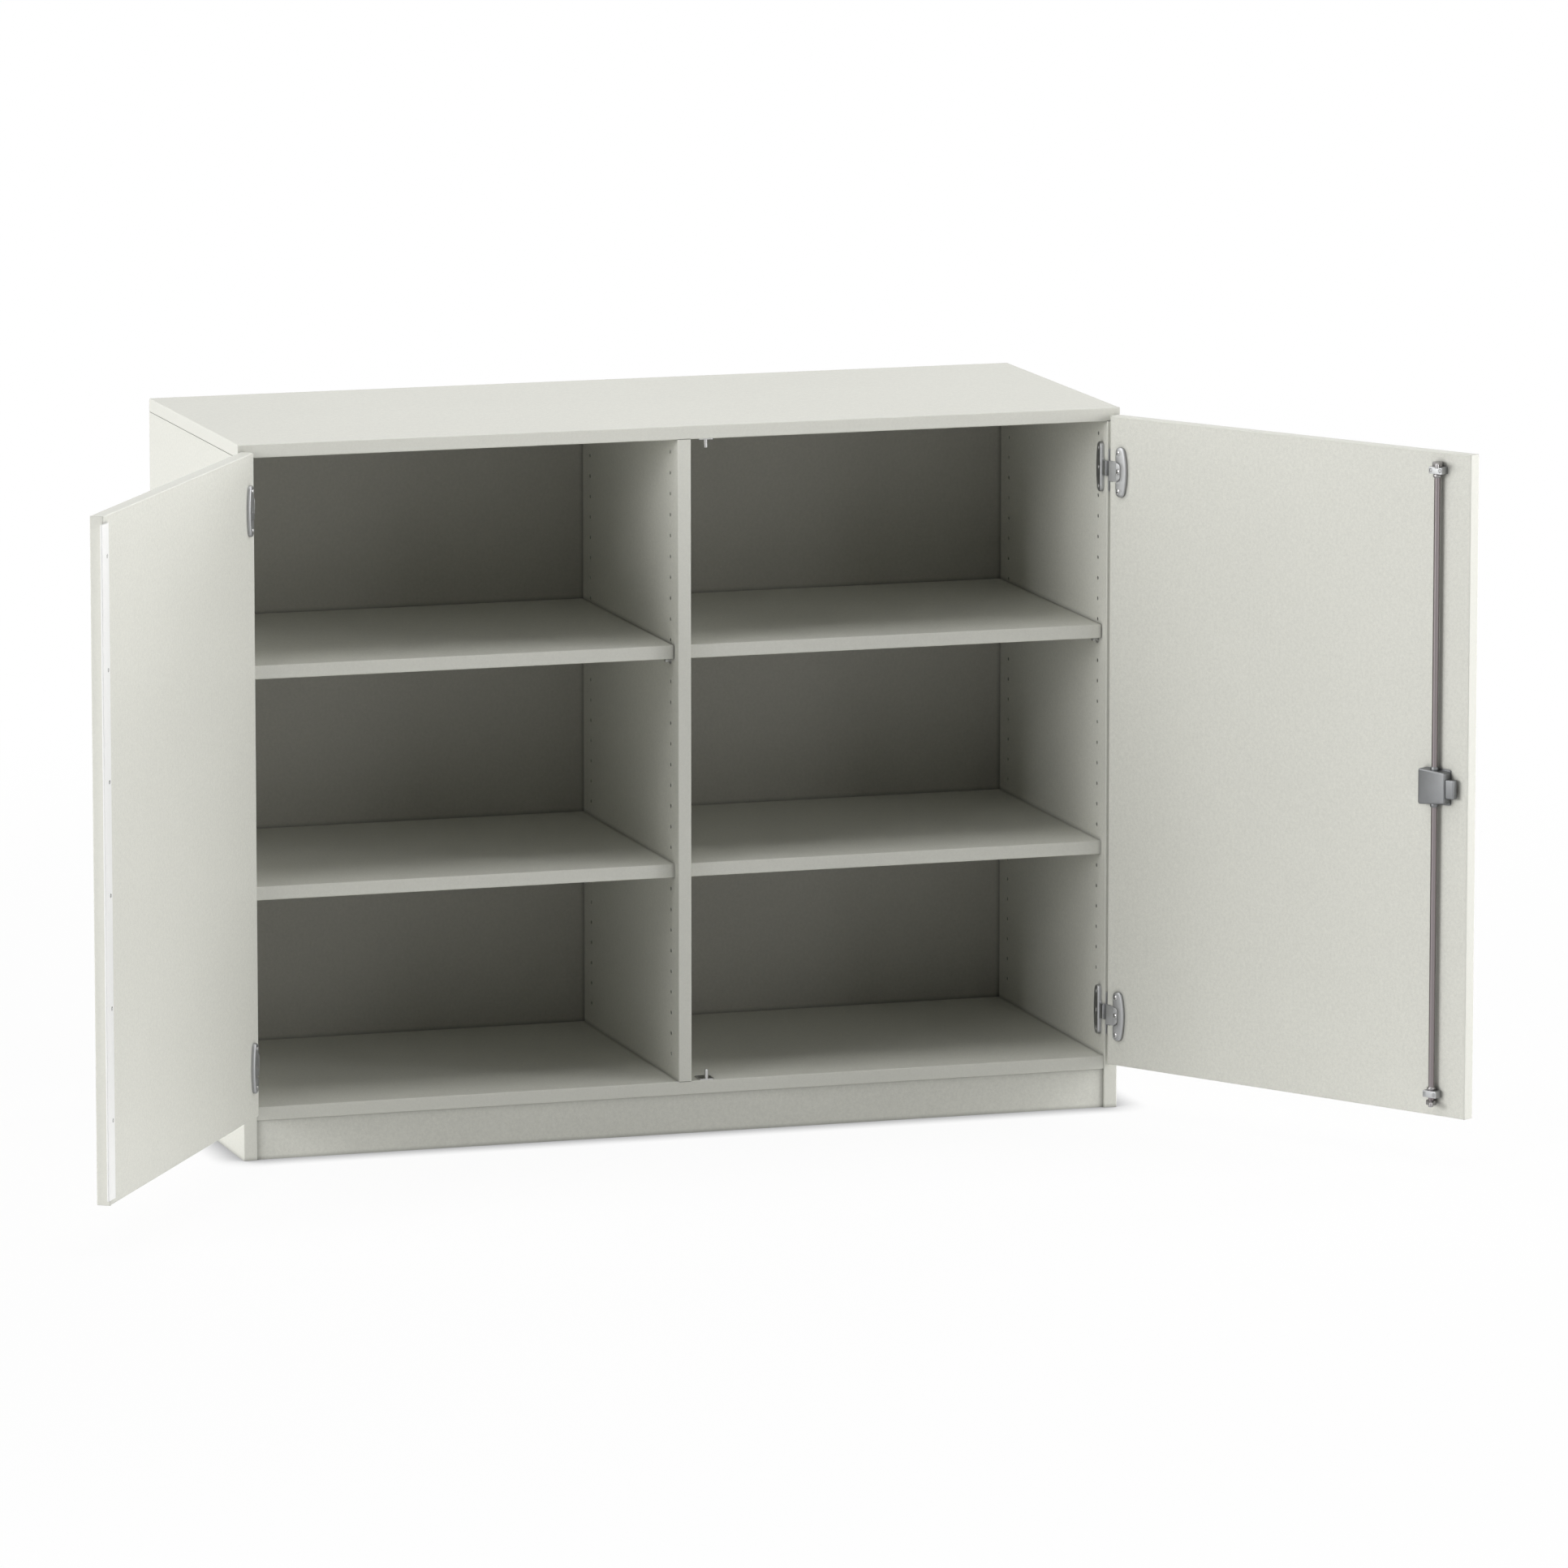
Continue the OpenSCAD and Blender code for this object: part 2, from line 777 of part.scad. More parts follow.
// edge strips of a shut right door: two uprights and, between them, top and bottom
module door_strips() {
    cross_w = door_w - 2 * edge_t - 2 * seam;
    difference() {
        translate([door_edge_x - edge_t, door_in_y - door_t, door_z]) linear_extrude(door_h)
            strip_profile(door_t);
        for (z = hinge_zs) {
            hinge_notch(z);
        }
    }
    translate([free_x + edge_t, door_in_y - door_t, door_z]) mirror([1, 0, 0]) linear_extrude(door_h)
        strip_profile(door_t);
    translate([free_x + edge_t + seam, door_in_y, door_z + door_h - edge_t]) cross_strip(cross_w);
    translate([free_x + edge_t + seam, door_in_y, door_z + edge_t]) mirror([0, 0, 1]) cross_strip(cross_w);
}

// edge strip along X with its rounded side up and its width towards the room
module cross_strip(w) {
    rotate([90, 0, 90]) linear_extrude(w) rotate([0, 0, 90]) strip_profile(door_t);
}

// rectangle whose two far corners are rounded
module boss_outline(w, h, r) {
    intersection() {
        square([w, h]);
        union() {
            square([w - r, h]);
            translate([0, r]) square([w, h - 2 * r]);
            for (v = [r, h - r]) {
                translate([w - r, v]) circle(r = r);
            }
        }
    }
}

// door leaf on the shut right door: plate, flush arm, boss and the middle knuckle
module door_leaf(z) {
    color(c_metal) difference() {
        union() {
            on_door(z) {
                difference() {
                    moon_plate(door_plate_t);
                    translate([0, -cut_half, -cut]) linear_extrude(door_plate_t + 2 * cut)
                        boss_outline(cut_u, 2 * cut_half, cut_r);
                }
                translate([arm_start, -knuckle_mid, -arm_t])
                    cube([arm_u - arm_start, 2 * knuckle_mid, arm_t]);
                translate([boss_start, -cut_half + boss_gap, -arm_t]) linear_extrude(arm_t + boss_t)
                    boss_outline(cut_u - boss_start - boss_gap, 2 * (cut_half - boss_gap), cut_r - boss_gap);
            }
            translate([0, 0, z - knuckle_mid]) linear_extrude(2 * knuckle_mid) {
                translate([hinge_x, hinge_y]) circle(r = knuckle_r);
                polygon([[hinge_x + wrap_out - web_t, hinge_y], [hinge_x + wrap_out, hinge_y],
                    [hinge_x + wrap_out, door_in_y - arm_t + 0.3], [hinge_x + wrap_out - 1.5, door_in_y],
                    [hinge_x + wrap_out - web_t - 1, door_in_y],
                    [hinge_x + wrap_out - web_t - 1, door_in_y - arm_t],
                    [hinge_x + wrap_out - web_t, door_in_y - arm_t]]);
            }
        }
        translate([hinge_x, hinge_y, z - knuckle_top]) cylinder(r = pin_r + pin_play, h = 2 * knuckle_top);
        for (v = [-leaf_screw_v, leaf_screw_v]) {
            on_door(z) translate([leaf_screw_u, v, door_plate_t])
                screw_hole(screw_r, screw_head_r, screw_head_h, screw_len);
        }
        on_door(z) translate([arm_screw_u, 0, boss_t])
            screw_hole(screw_r, screw_head_r, screw_head_h, screw_len);
    }
}

module door_leaf_screws() {
    color(c_screw) for (z = hinge_zs) {
        for (v = [-leaf_screw_v, leaf_screw_v]) {
            on_door(z) translate([leaf_screw_u, v, door_plate_t])
                wood_screw(screw_r, screw_head_r, screw_head_h, screw_len);
        }
        on_door(z) translate([arm_screw_u, 0, boss_t])
            wood_screw(screw_r, screw_head_r, screw_head_h, screw_len);
    }
}

module left_door_panel() {
    color(c_board) left_open() difference() {
        door_board();
        for (z = strip_screw_zs) {
            translate([free_x + strip_screw_in, door_in_y + cut, z]) rotate([90, 0, 0])
                cylinder(r = small_r + fit, h = small_len - strip_t + cut + 1);
        }
    }
}

module left_door_edge_strips() {
    color(c_edge) left_open() door_strips();
}

module left_upper_door_leaf() {
    left_open() door_leaf(hinge_top_z);
}

module left_lower_door_leaf() {
    left_open() door_leaf(hinge_low_z);
}

module left_door_leaf_screws() {
    left_open() door_leaf_screws();
}

// flat strip screwed inside the left door, lapping behind the right door
module stop_strip() {
    color(c_strip) left_open() difference() {
        union() {
            translate([free_x, door_in_y, strip_z0]) cube([strip_in, strip_t, strip_z1 - strip_z0]);
            translate([free_x - strip_out, door_in_y + strip_relief, strip_z0])
                cube([strip_out, strip_t - strip_relief, strip_z1 - strip_z0]);
        }
        for (z = strip_screw_zs) {
            translate([free_x + strip_screw_in, door_in_y + strip_t, z]) rotate([-90, 0, 0])
                screw_hole(small_r, small_head_r, small_head_h, small_len);
        }
    }
}

module stop_strip_screws() {
    color(c_screw) left_open() for (z = strip_screw_zs) {
        translate([free_x + strip_screw_in, door_in_y + strip_t, z]) rotate([-90, 0, 0])
            wood_screw(small_r, small_head_r, small_head_h, small_len);
    }
}

// places a shape drawn as (along X, up, out of the door) on the shut right door's inner face
module on_face(x, z) {
    translate([x, door_in_y, z]) rotate([90, 0, 0]) mirror([0, 0, 1]) children();
}

module right_door_panel() {
    color(c_board) right_open() difference() {
        door_board();
        on_face(core_x, core_z) translate([0, 0, -door_t - cut])
            cylinder(r = housing_r + fit, h = door_t + 2 * cut);
        for (sx = [-1, 1], sz = [-1, 1]) {
            on_face(rod_x + sx * lock_screw_dx, case_mid + sz * lock_screw_dz)
                translate([0, 0, base_t - small_len - 1]) cylinder(r = small_r + fit, h = small_len);
        }
        for (z = guide_zs, s = [-1, 1]) {
            on_face(rod_x + s * guide_screw_dx, z + guide_h / 2)
                translate([0, 0, -screw_len]) cylinder(r = small_r + fit, h = screw_len + cut);
        }
    }
}

module right_door_edge_strips() {
    color(c_edge) right_open() door_strips();
}

module right_upper_door_leaf() {
    right_open() door_leaf(hinge_top_z);
}

module right_lower_door_leaf() {
    right_open() door_leaf(hinge_low_z);
}

module right_door_leaf_screws() {
    right_open() door_leaf_screws();
}

// block that the rod turns in, screwed to the door
module rod_guide(z) {
    color(c_metal) right_open() difference() {
        translate([rod_x - guide_w / 2, door_in_y, z]) linear_extrude(guide_h) guide_profile();
        translate([rod_x, rod_y, z - cut]) cylinder(r = rod_r + rod_play, h = guide_h + 2 * cut);
        for (s = [-1, 1]) {
            on_face(rod_x + s * guide_screw_dx, z + guide_h / 2) translate([0, 0, guide_d])
                screw_hole(small_r, small_head_r, small_head_h, guide_d + screw_len - 2);
        }
    }
}

module guide_profile() {
    square([guide_w, guide_d - guide_r]);
    translate([guide_r, 0]) square([guide_w - 2 * guide_r, guide_d]);
    for (x = [guide_r, guide_w - guide_r]) {
        translate([x, guide_d - guide_r]) circle(r = guide_r);
    }
}

module upper_rod_guide() {
    rod_guide(guide_zs[0]);
}

module lower_rod_guide() {
    rod_guide(guide_zs[1]);
}

module rod_guide_screws() {
    color(c_screw) right_open() for (z = guide_zs, s = [-1, 1]) {
        on_face(rod_x + s * guide_screw_dx, z + guide_h / 2) translate([0, 0, guide_d])
            wood_screw(small_r, small_head_r, small_head_h, guide_d + screw_len - 3);
    }
}

module lock_case() {
    color(c_metal) right_open() difference() {
        union() {
            on_face(rod_x - case_w / 2, case_z) translate([0, 0, base_t])
                linear_extrude(case_d - base_t) round_rect(case_w, case_h, case_r);
            translate([rod_x, rod_y, case_z - bush_h]) cylinder(r = bush_r, h = case_h + 2 * bush_h);
        }
        on_face(rod_x - case_w / 2 + case_wall, case_z + case_wall) translate([0, 0, base_t - cut])
            linear_extrude(case_d - base_t - case_wall + cut)
            round_rect(case_w - 2 * case_wall, case_h - 2 * case_wall, case_r - case_wall);
        translate([rod_x, rod_y, case_z - bush_h - cut])
            cylinder(r = rod_r + rod_play, h = case_h + 2 * (bush_h + cut));
        translate([rod_x - case_w / 2 - cut, door_in_y + bolt_d0 - slide_play, bolt_z0 - slide_play])
            cube([case_wall + 2 * cut, bolt_d1 - bolt_d0 + 2 * slide_play,
                bolt_z1 - bolt_z0 + 2 * slide_play]);
    }
}

module lock_base_plate() {
    color(c_metal) right_open() difference() {
        on_face(rod_x - case_w / 2, case_z) linear_extrude(base_t) round_rect(case_w, case_h, case_r);
        on_face(core_x, core_z) translate([0, 0, -cut])
            cylinder(r = core_r + core_play, h = base_t + 2 * cut);
        for (sx = [-1, 1], sz = [-1, 1]) {
            on_face(rod_x + sx * lock_screw_dx, case_mid + sz * lock_screw_dz) translate([0, 0, base_t])
                screw_hole(small_r, small_head_r, small_head_h, small_len);
        }
    }
}

module lock_screws() {
    color(c_screw) right_open() for (sx = [-1, 1], sz = [-1, 1]) {
        on_face(rod_x + sx * lock_screw_dx, case_mid + sz * lock_screw_dz) translate([0, 0, base_t])
            wood_screw(small_r, small_head_r, small_head_h, small_len);
    }
}

module cylinder_housing() {
    color(c_metal) right_open() on_face(core_x, core_z) translate([0, 0, -door_t - rosette_t]) difference() {
        cylinder(r = housing_r, h = door_t + rosette_t);
        translate([0, 0, -cut]) cylinder(r = core_r + core_play, h = door_t + rosette_t + 2 * cut);
    }
}

module cylinder_rosette() {
    color(c_metal) right_open() on_face(core_x, core_z) translate([0, 0, -door_t - rosette_t]) difference() {
        union() {
            cylinder(r1 = rosette_r - rosette_bevel, r2 = rosette_r, h = rosette_bevel);
            translate([0, 0, rosette_bevel]) cylinder(r = rosette_r, h = rosette_t - rosette_bevel);
        }
        translate([0, 0, -cut]) cylinder(r = housing_r + 0.05, h = rosette_t + 2 * cut);
    }
}

module upper_lock_rod() {
    color(c_metal) right_open() translate([rod_x, rod_y, case_mid])
        cylinder(r = rod_r, h = rod_top - case_mid);
}

module lower_lock_rod() {
    color(c_metal) right_open() translate([rod_x, rod_y, rod_low])
        cylinder(r = rod_r, h = case_mid - rod_low);
}

module rod_hub() {
    color(c_metal) right_open() translate([rod_x, rod_y, case_mid - hub_half]) difference() {
        cylinder(r = hub_r, h = 2 * hub_half);
        translate([0, 0, -cut]) cylinder(r = rod_r + 0.05, h = 2 * (hub_half + cut));
    }
}

// hook at the end of a rod: round hub and a finger that turns behind the strike pin
module hook(z) {
    color(c_metal) right_open() translate([rod_x, rod_y, z]) difference() {
        linear_extrude(hook_h) {
            circle(r = hook_hub_r);
            rotate([0, 0, hook_turn]) {
                translate([0, -hook_half]) square([hook_len - hook_half, 2 * hook_half]);
                translate([hook_len - hook_half, 0]) circle(r = hook_half);
            }
        }
        translate([0, 0, -cut]) cylinder(r = rod_r + 0.05, h = hook_h + 2 * cut);
    }
}

module upper_hook() {
    hook(hook_zs[0]);
}

module lower_hook() {
    hook(hook_zs[1]);
}

module rod_collars() {
    color(c_metal) right_open() for (z = collar_zs) {
        translate([rod_x, rod_y, z]) difference() {
            cylinder(r = collar_r, h = collar_h);
            translate([0, 0, -cut]) cylinder(r = rod_r + 0.05, h = collar_h + 2 * cut);
        }
    }
}

module lock_bolt() {
    color(c_screw) right_open() translate([rod_x - case_w / 2 - bolt_out, door_in_y + bolt_d0, bolt_z0])
        cube([bolt_len, bolt_d1 - bolt_d0, bolt_z1 - bolt_z0]);
}

// cylinder core with its keyway towards the room and a round cam inside the case
module lock_core() {
    color(c_brass) right_open() on_face(core_x, core_z) difference() {
        union() {
            translate([0, 0, -door_t - rosette_t]) cylinder(r = core_r, h = door_t + rosette_t + base_t + 1);
            translate([0, 0, base_t + 1]) cylinder(r = cam_r, h = cam_t);
        }
        translate([-key_w / 2, -key_h / 2, -door_t - rosette_t - cut]) cube([key_w, key_h, door_t]);
    }
}

left_side_panel();
right_side_panel();
top_panel();
bottom_panel();
centre_partition();
back_panel();
front_plinth_board();
rear_plinth_board();
left_fixed_shelf();
right_fixed_shelf();
left_loose_shelf();
right_loose_shelf();
side_edge_strips();
top_edge_strips();
bottom_edge_strip();
partition_edge_strip();
shelf_edge_strips();
dowels();
shelf_supports();
left_upper_cabinet_leaf();
left_lower_cabinet_leaf();
right_upper_cabinet_leaf();
right_lower_cabinet_leaf();
hinge_pins();
cabinet_leaf_screws();
upper_strike();
lower_strike();
strike_screws();
left_door_panel();
left_door_edge_strips();
left_upper_door_leaf();
left_lower_door_leaf();
left_door_leaf_screws();
stop_strip();
stop_strip_screws();
right_door_panel();
right_door_edge_strips();
right_upper_door_leaf();
right_lower_door_leaf();
right_door_leaf_screws();
upper_rod_guide();
lower_rod_guide();
rod_guide_screws();
lock_case();
lock_base_plate();
lock_screws();
cylinder_housing();
cylinder_rosette();
upper_lock_rod();
lower_lock_rod();
rod_hub();
upper_hook();
lower_hook();
rod_collars();
lock_bolt();
lock_core();
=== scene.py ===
"""Looks for the two-door storage cupboard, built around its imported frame.

The carcass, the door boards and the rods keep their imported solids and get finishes. The hinge
leaves, most screws, the stop strip and the lock's case, bolt, guides, collars and hooks are made
again here with their rounded rims, each in the place of the node that it replaces. Sizes are in
millimetres and are turned into metres where a mesh is made. The frame's origin is the middle of the
front plinth board's underside, with +X right, +Y towards the back and +Z up.
"""

import logging
import math
from dataclasses import Field, dataclass, field
from enum import Enum

import bpy
import numpy as np
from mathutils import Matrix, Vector
from mathutils.geometry import tessellate_polygon


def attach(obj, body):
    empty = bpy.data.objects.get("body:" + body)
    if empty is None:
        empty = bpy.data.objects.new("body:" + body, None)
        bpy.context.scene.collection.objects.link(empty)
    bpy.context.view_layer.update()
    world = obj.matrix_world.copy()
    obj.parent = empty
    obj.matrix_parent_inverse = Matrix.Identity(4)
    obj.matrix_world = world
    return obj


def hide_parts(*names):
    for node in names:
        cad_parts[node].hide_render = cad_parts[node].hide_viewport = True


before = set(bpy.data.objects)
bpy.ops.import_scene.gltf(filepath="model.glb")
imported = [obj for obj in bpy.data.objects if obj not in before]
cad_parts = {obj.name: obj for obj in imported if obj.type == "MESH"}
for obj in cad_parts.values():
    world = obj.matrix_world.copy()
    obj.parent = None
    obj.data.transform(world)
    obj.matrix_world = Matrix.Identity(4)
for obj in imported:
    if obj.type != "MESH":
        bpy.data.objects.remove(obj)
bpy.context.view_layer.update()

log = logging.getLogger("cupboard")
MM = 0.001
BOARD_GREY = (0.66, 0.66, 0.607)


class Hand(Enum):
    """Which side of the cupboard a hinge or door is on."""

    LEFT = "left"
    RIGHT = "right"


class Level(Enum):
    """Which of a door's two hinges, by the height of its middle in mm."""

    UPPER = 857.5
    LOWER = 128.0


# Shader graphs


class Value:
    """A number socket in a material, with arithmetic that adds Math nodes."""

    def __init__(self, graph: "Graph", socket: bpy.types.NodeSocket) -> None:
        """Keeps the socket and the graph that it belongs to."""
        self.graph = graph
        self.socket = socket

    def _math(self, operation: str, a: object, b: object = None) -> "Value":
        """Adds one Math node.

        Args:
            operation: The Math node's operation.
            a: First value, a Value or a number.
            b: Second value, where the operation has one.

        Returns:
            The node's result.
        """
        inputs = {0: a} if b is None else {0: a, 1: b}
        return self.graph.node("ShaderNodeMath", {"operation": operation}, inputs)

    def __add__(self, other: object) -> "Value":
        """self + other."""
        return self._math("ADD", self, other)

    def __radd__(self, other: object) -> "Value":
        """other + self."""
        return self._math("ADD", other, self)

    def __sub__(self, other: object) -> "Value":
        """self - other."""
        return self._math("SUBTRACT", self, other)

    def __rsub__(self, other: object) -> "Value":
        """other - self."""
        return self._math("SUBTRACT", other, self)

    def __mul__(self, other: object) -> "Value":
        """self * other."""
        return self._math("MULTIPLY", self, other)

    def __rmul__(self, other: object) -> "Value":
        """other * self."""
        return self._math("MULTIPLY", other, self)

    def swing(self, share: float) -> "Value":
        """How far the value is from a half, times share."""
        return (self - 0.5) * share

    def clamped(self, low: float = 0.0, high: float = 1.0) -> "Value":
        """The value kept between low and high."""
        return self._math("MINIMUM", self._math("MAXIMUM", self, low), high)


class Graph:
    """The node graph of one material, or of the world."""

    def __init__(self, owner: bpy.types.ID, ending: str = "ShaderNodeOutputMaterial") -> None:
        """Empties the graph of a new material or world.

        Args:
            owner: The material or world.
            ending: Type of its output node.
        """
        self.owner = owner
        self.ending = ending
        owner.use_nodes = True
        self.tree = owner.node_tree
        self.tree.nodes.clear()

    def node(self, kind: str, settings: dict | None = None, inputs: dict | None = None,
             out: object = 0) -> Value | None:
        """Adds any node.

        Args:
            kind: The node's type.
            settings: The node's own settings, set first.
            inputs: Input name or index to a Value or a plain value.
            out: Name or index of the output that is returned.

        Returns:
            The chosen output, or None from a node that has none.
        """
        made = self.tree.nodes.new(kind)
        for key, value in (settings or {}).items():
            setattr(made, key, value)
        for key, value in (inputs or {}).items():
            if isinstance(value, Value):
                self.tree.links.new(value.socket, made.inputs[key])
            else:
                made.inputs[key].default_value = value
        return Value(self, made.outputs[out]) if len(made.outputs) else None

    def place(self, stretch: tuple = (1.0, 1.0, 1.0)) -> Value:
        """Object coordinates, stretched along each axis."""
        coordinates = self.node("ShaderNodeTexCoord", out="Object")
        return self.node("ShaderNodeMapping", {}, {"Vector": coordinates, "Scale": stretch})

    def noise(self, scale: float, detail: float = 2.0, stretch: tuple = (1.0, 1.0, 1.0)) -> Value:
        """Noise between about 0 and 1, with scale in patches per metre."""
        inputs = {"Vector": self.place(stretch), "Scale": scale, "Detail": detail}
        return self.node("ShaderNodeTexNoise", {}, inputs, "Fac")

    def blend(self, amount: object, a: object, b: object) -> Value:
        """Colour a blended into colour b by amount, each a colour or a Value.

        Args:
            amount: 0 for a, 1 for b.
            a: First colour.
            b: Second colour.

        Returns:
            The blended colour.
        """
        whole = [(*c, 1.0) if isinstance(c, tuple) else c for c in (a, b)]
        settings = {"data_type": "RGBA"}
        return self.node("ShaderNodeMix", settings, {0: amount, 6: whole[0], 7: whole[1]}, 2)

    def bump(self, height: Value, strength: float, distance: float, softened: float = 0.0) -> Value:
        """A surface normal from a height, with edges softened.

        Args:
            height: The height that makes the relief.
            strength: Share of the relief that shows.
            distance: Depth of the relief in mm.
            softened: Radius of the softened edges in mm, or 0 for sharp ones.

        Returns:
            The normal.
        """
        inputs = {"Height": height, "Strength": strength, "Distance": distance * MM}
        if softened:
            rounded = {"Radius": softened * MM}
            inputs["Normal"] = self.node("ShaderNodeBevel", {"samples": 6}, rounded, "Normal")
        return self.node("ShaderNodeBump", {}, inputs, "Normal")

    def meeting(self, reach: float, depth: float = 1.3) -> Value:
        """1 in the open, falling towards 0 within reach mm of where another surface meets this one.

        Args:
            reach: Distance over which it falls.
            depth: How steeply it falls.

        Returns:
            The share of open space.
        """
        inputs = {"Distance": reach * MM}
        near = self.node("ShaderNodeAmbientOcclusion", {"samples": 8}, inputs, "AO")
        return (near * depth + (1.0 - depth)).clamped()

    def end(self, shader: Value) -> bpy.types.ID:
        """Ends the graph in this shader and gives back its material or world."""
        self.node(self.ending, {}, {"Surface": shader})
        return self.owner

    def surface(self, inputs: dict) -> bpy.types.Material:
        """Ends the graph in a Principled shader with these inputs."""
        return self.end(self.node("ShaderNodeBsdfPrincipled", {}, inputs))


def paint(name: str) -> Graph:
    """An empty graph in a new material of this name."""
    return Graph(bpy.data.materials.new(name))


# Finishes


def toned(colour: tuple, share: float) -> tuple:
    """The colour made darker or lighter by share, and no lighter than white."""
    return tuple(min(1.0, channel * share) for channel in colour)


@dataclass(frozen=True)
class Melamine:
    """Melamine-faced board or plastic edging: pale, matt, with a fine pearl grain.

    Scales are in patches per metre and depths in mm. A share says how much its pattern counts.
    """

    name: str
    colour: tuple
    grain: float = 0.07
    roughness: float = 0.5
    stipple: float = 0.12
    softened: float = 0.0
    fine_scale: float = 900.0
    fine_share: float = 1.6
    coarse_scale: float = 260.0
    coarse_share: float = 1.5
    cloud_scale: float = 6.0
    cloud_share: float = 0.25
    pore_scale: float = 1500.0
    dimple_scale: float = 420.0
    dimple_share: float = 0.6
    stipple_depth: float = 0.05
    rough_swing: float = 0.12
    specular: float = 0.3
    # painted shade: within this reach in mm of where another surface meets the board, in joints,
    # corners, gaps and holes, its colour falls towards the tone below times its own
    joint: float = 6.0
    painted_shade_tone: float = 0.4

    def build(self) -> bpy.types.Material:
        """Makes the material: a two-scale speckle with painted shade where other surfaces meet it,
        on a stippled surface.

        Returns:
            The new material.
        """
        g = paint(self.name)
        fine = g.noise(self.fine_scale, detail=1.0).swing(self.fine_share)
        coarse = g.noise(self.coarse_scale)
        cloud = g.noise(self.cloud_scale, detail=1.0).swing(self.cloud_share)
        speckle = (fine + coarse.swing(self.coarse_share) + cloud + 0.5).clamped()
        dark, light = toned(self.colour, 1.0 - self.grain), toned(self.colour, 1.0 + self.grain)
        dimples = g.noise(self.dimple_scale, detail=1.0) * self.dimple_share
        relief = g.noise(self.pore_scale, detail=1.0) + dimples
        painted_shade = toned(self.colour, self.painted_shade_tone)
        return g.surface({
            # painted shade from ambient occlusion darkens the colour where another surface meets
            # this one
            "Base Color": g.blend(g.meeting(self.joint), painted_shade, g.blend(speckle, dark, light)),
            "Roughness": coarse.swing(self.rough_swing) + self.roughness,
            "Specular IOR Level": self.specular,
            "Normal": g.bump(relief, self.stipple, self.stipple_depth, self.softened),
        })


@dataclass(frozen=True)
class Nickel:
    """Plated metal: satin, faintly cloudy, with fine drawn or cast marks.

    The marks are stretched along an axis whose number in stretch is small.
    """

    name: str
    colour: tuple
    roughness: float
    stretch: tuple = (1.0, 1.0, 1.0)
    relief: float = 0.1
    relief_depth: float = 0.02
    cloud_scale: float = 120.0
    mark_scale: float = 1800.0
    mark_share: float = 0.6
    dull_tone: float = 0.84
    cloud_rough: float = 0.1
    mark_rough: float = 0.06

    def build(self) -> bpy.types.Material:
        """Makes the material: cloudy tone and roughness, with marks along the metal's grain.

        Returns:
            The new material.
        """
        g = paint(self.name)
        cloud = g.noise(self.cloud_scale, detail=3.0, stretch=self.stretch)
        marks = g.noise(self.mark_scale, stretch=self.stretch)
        tone = (cloud + marks.swing(self.mark_share)).clamped()
        rough = cloud.swing(self.cloud_rough) + marks.swing(self.mark_rough) + self.roughness
        return g.surface({
            "Base Color": g.blend(tone, toned(self.colour, self.dull_tone), self.colour),
            "Metallic": 1.0,
            "Roughness": rough,
            "Normal": g.bump(marks, self.relief, self.relief_depth),
        })


@dataclass(frozen=True)
class Beech:
    """Plain beech: pink-brown with short dark flecks along the grain."""

    name: str
    colour: tuple = (0.55, 0.38, 0.22)
    streak_scale: float = 300.0
    streak_stretch: tuple = (1.0, 1.0, 0.12)
    fleck_scale: float = 900.0
    fleck_stretch: tuple = (1.0, 1.0, 0.3)
    fleck_start: float = 0.6
    fleck_share: float = 4.0
    dark_tone: float = 0.7
    roughness: float = 0.55
    rough_swing: float = 0.15
    relief: float = 0.15
    relief_depth: float = 0.05

    def build(self) -> bpy.types.Material:
        """Makes the material: long streaks and small flecks.

        Returns:
            The new material.
        """
        g = paint(self.name)
        streaks = g.noise(self.streak_scale, detail=3.0, stretch=self.streak_stretch)
        specks = g.noise(self.fleck_scale, detail=1.0, stretch=self.fleck_stretch)
        flecks = (specks - self.fleck_start).clamped() * self.fleck_share
        dark = toned(self.colour, self.dark_tone)
        return g.surface({
            "Base Color": g.blend((streaks - flecks).clamped(), dark, self.colour),
            "Roughness": streaks * self.rough_swing + self.roughness,
            "Normal": g.bump(streaks, self.relief, self.relief_depth),
        })


def once(finish: Melamine | Nickel | Beech) -> Field:
    """A dataclass field whose value is this finish's material, built when the dataclass is made."""
    return field(default_factory=finish.build)


@dataclass
class Finishes:
    """Every finish on the cupboard, made once."""

    board: bpy.types.Material = once(Melamine("board_grey", BOARD_GREY))
    back: bpy.types.Material = once(Melamine("back_grey", (0.46, 0.452, 0.41)))
    edging: bpy.types.Material = once(Melamine("edging_grey", BOARD_GREY, 0.03, 0.42, 0.06, 1.0))
    strip: bpy.types.Material = once(Melamine("strip_white", (0.86, 0.86, 0.85), 0.02, 0.35, 0.04))
    casting: bpy.types.Material = once(Nickel("hinge_nickel", (0.40, 0.405, 0.41), 0.45))
    plate: bpy.types.Material = once(Nickel("lock_nickel", (0.20, 0.205, 0.21), 0.45))
    rod: bpy.types.Material = once(
        Nickel("rod_steel", (0.26, 0.23, 0.235), 0.3, stretch=(1.0, 1.0, 0.02), relief=0.04)
    )
    turned: bpy.types.Material = once(Nickel("turned_steel", (0.31, 0.30, 0.30), 0.34))
    bright: bpy.types.Material = once(Nickel("bright_steel", (0.46, 0.46, 0.455), 0.28))
    core: bpy.types.Material = once(Nickel("core_brass", (0.58, 0.54, 0.42), 0.28))
    beech: bpy.types.Material = once(Beech("dowel_beech"))


# Mesh building


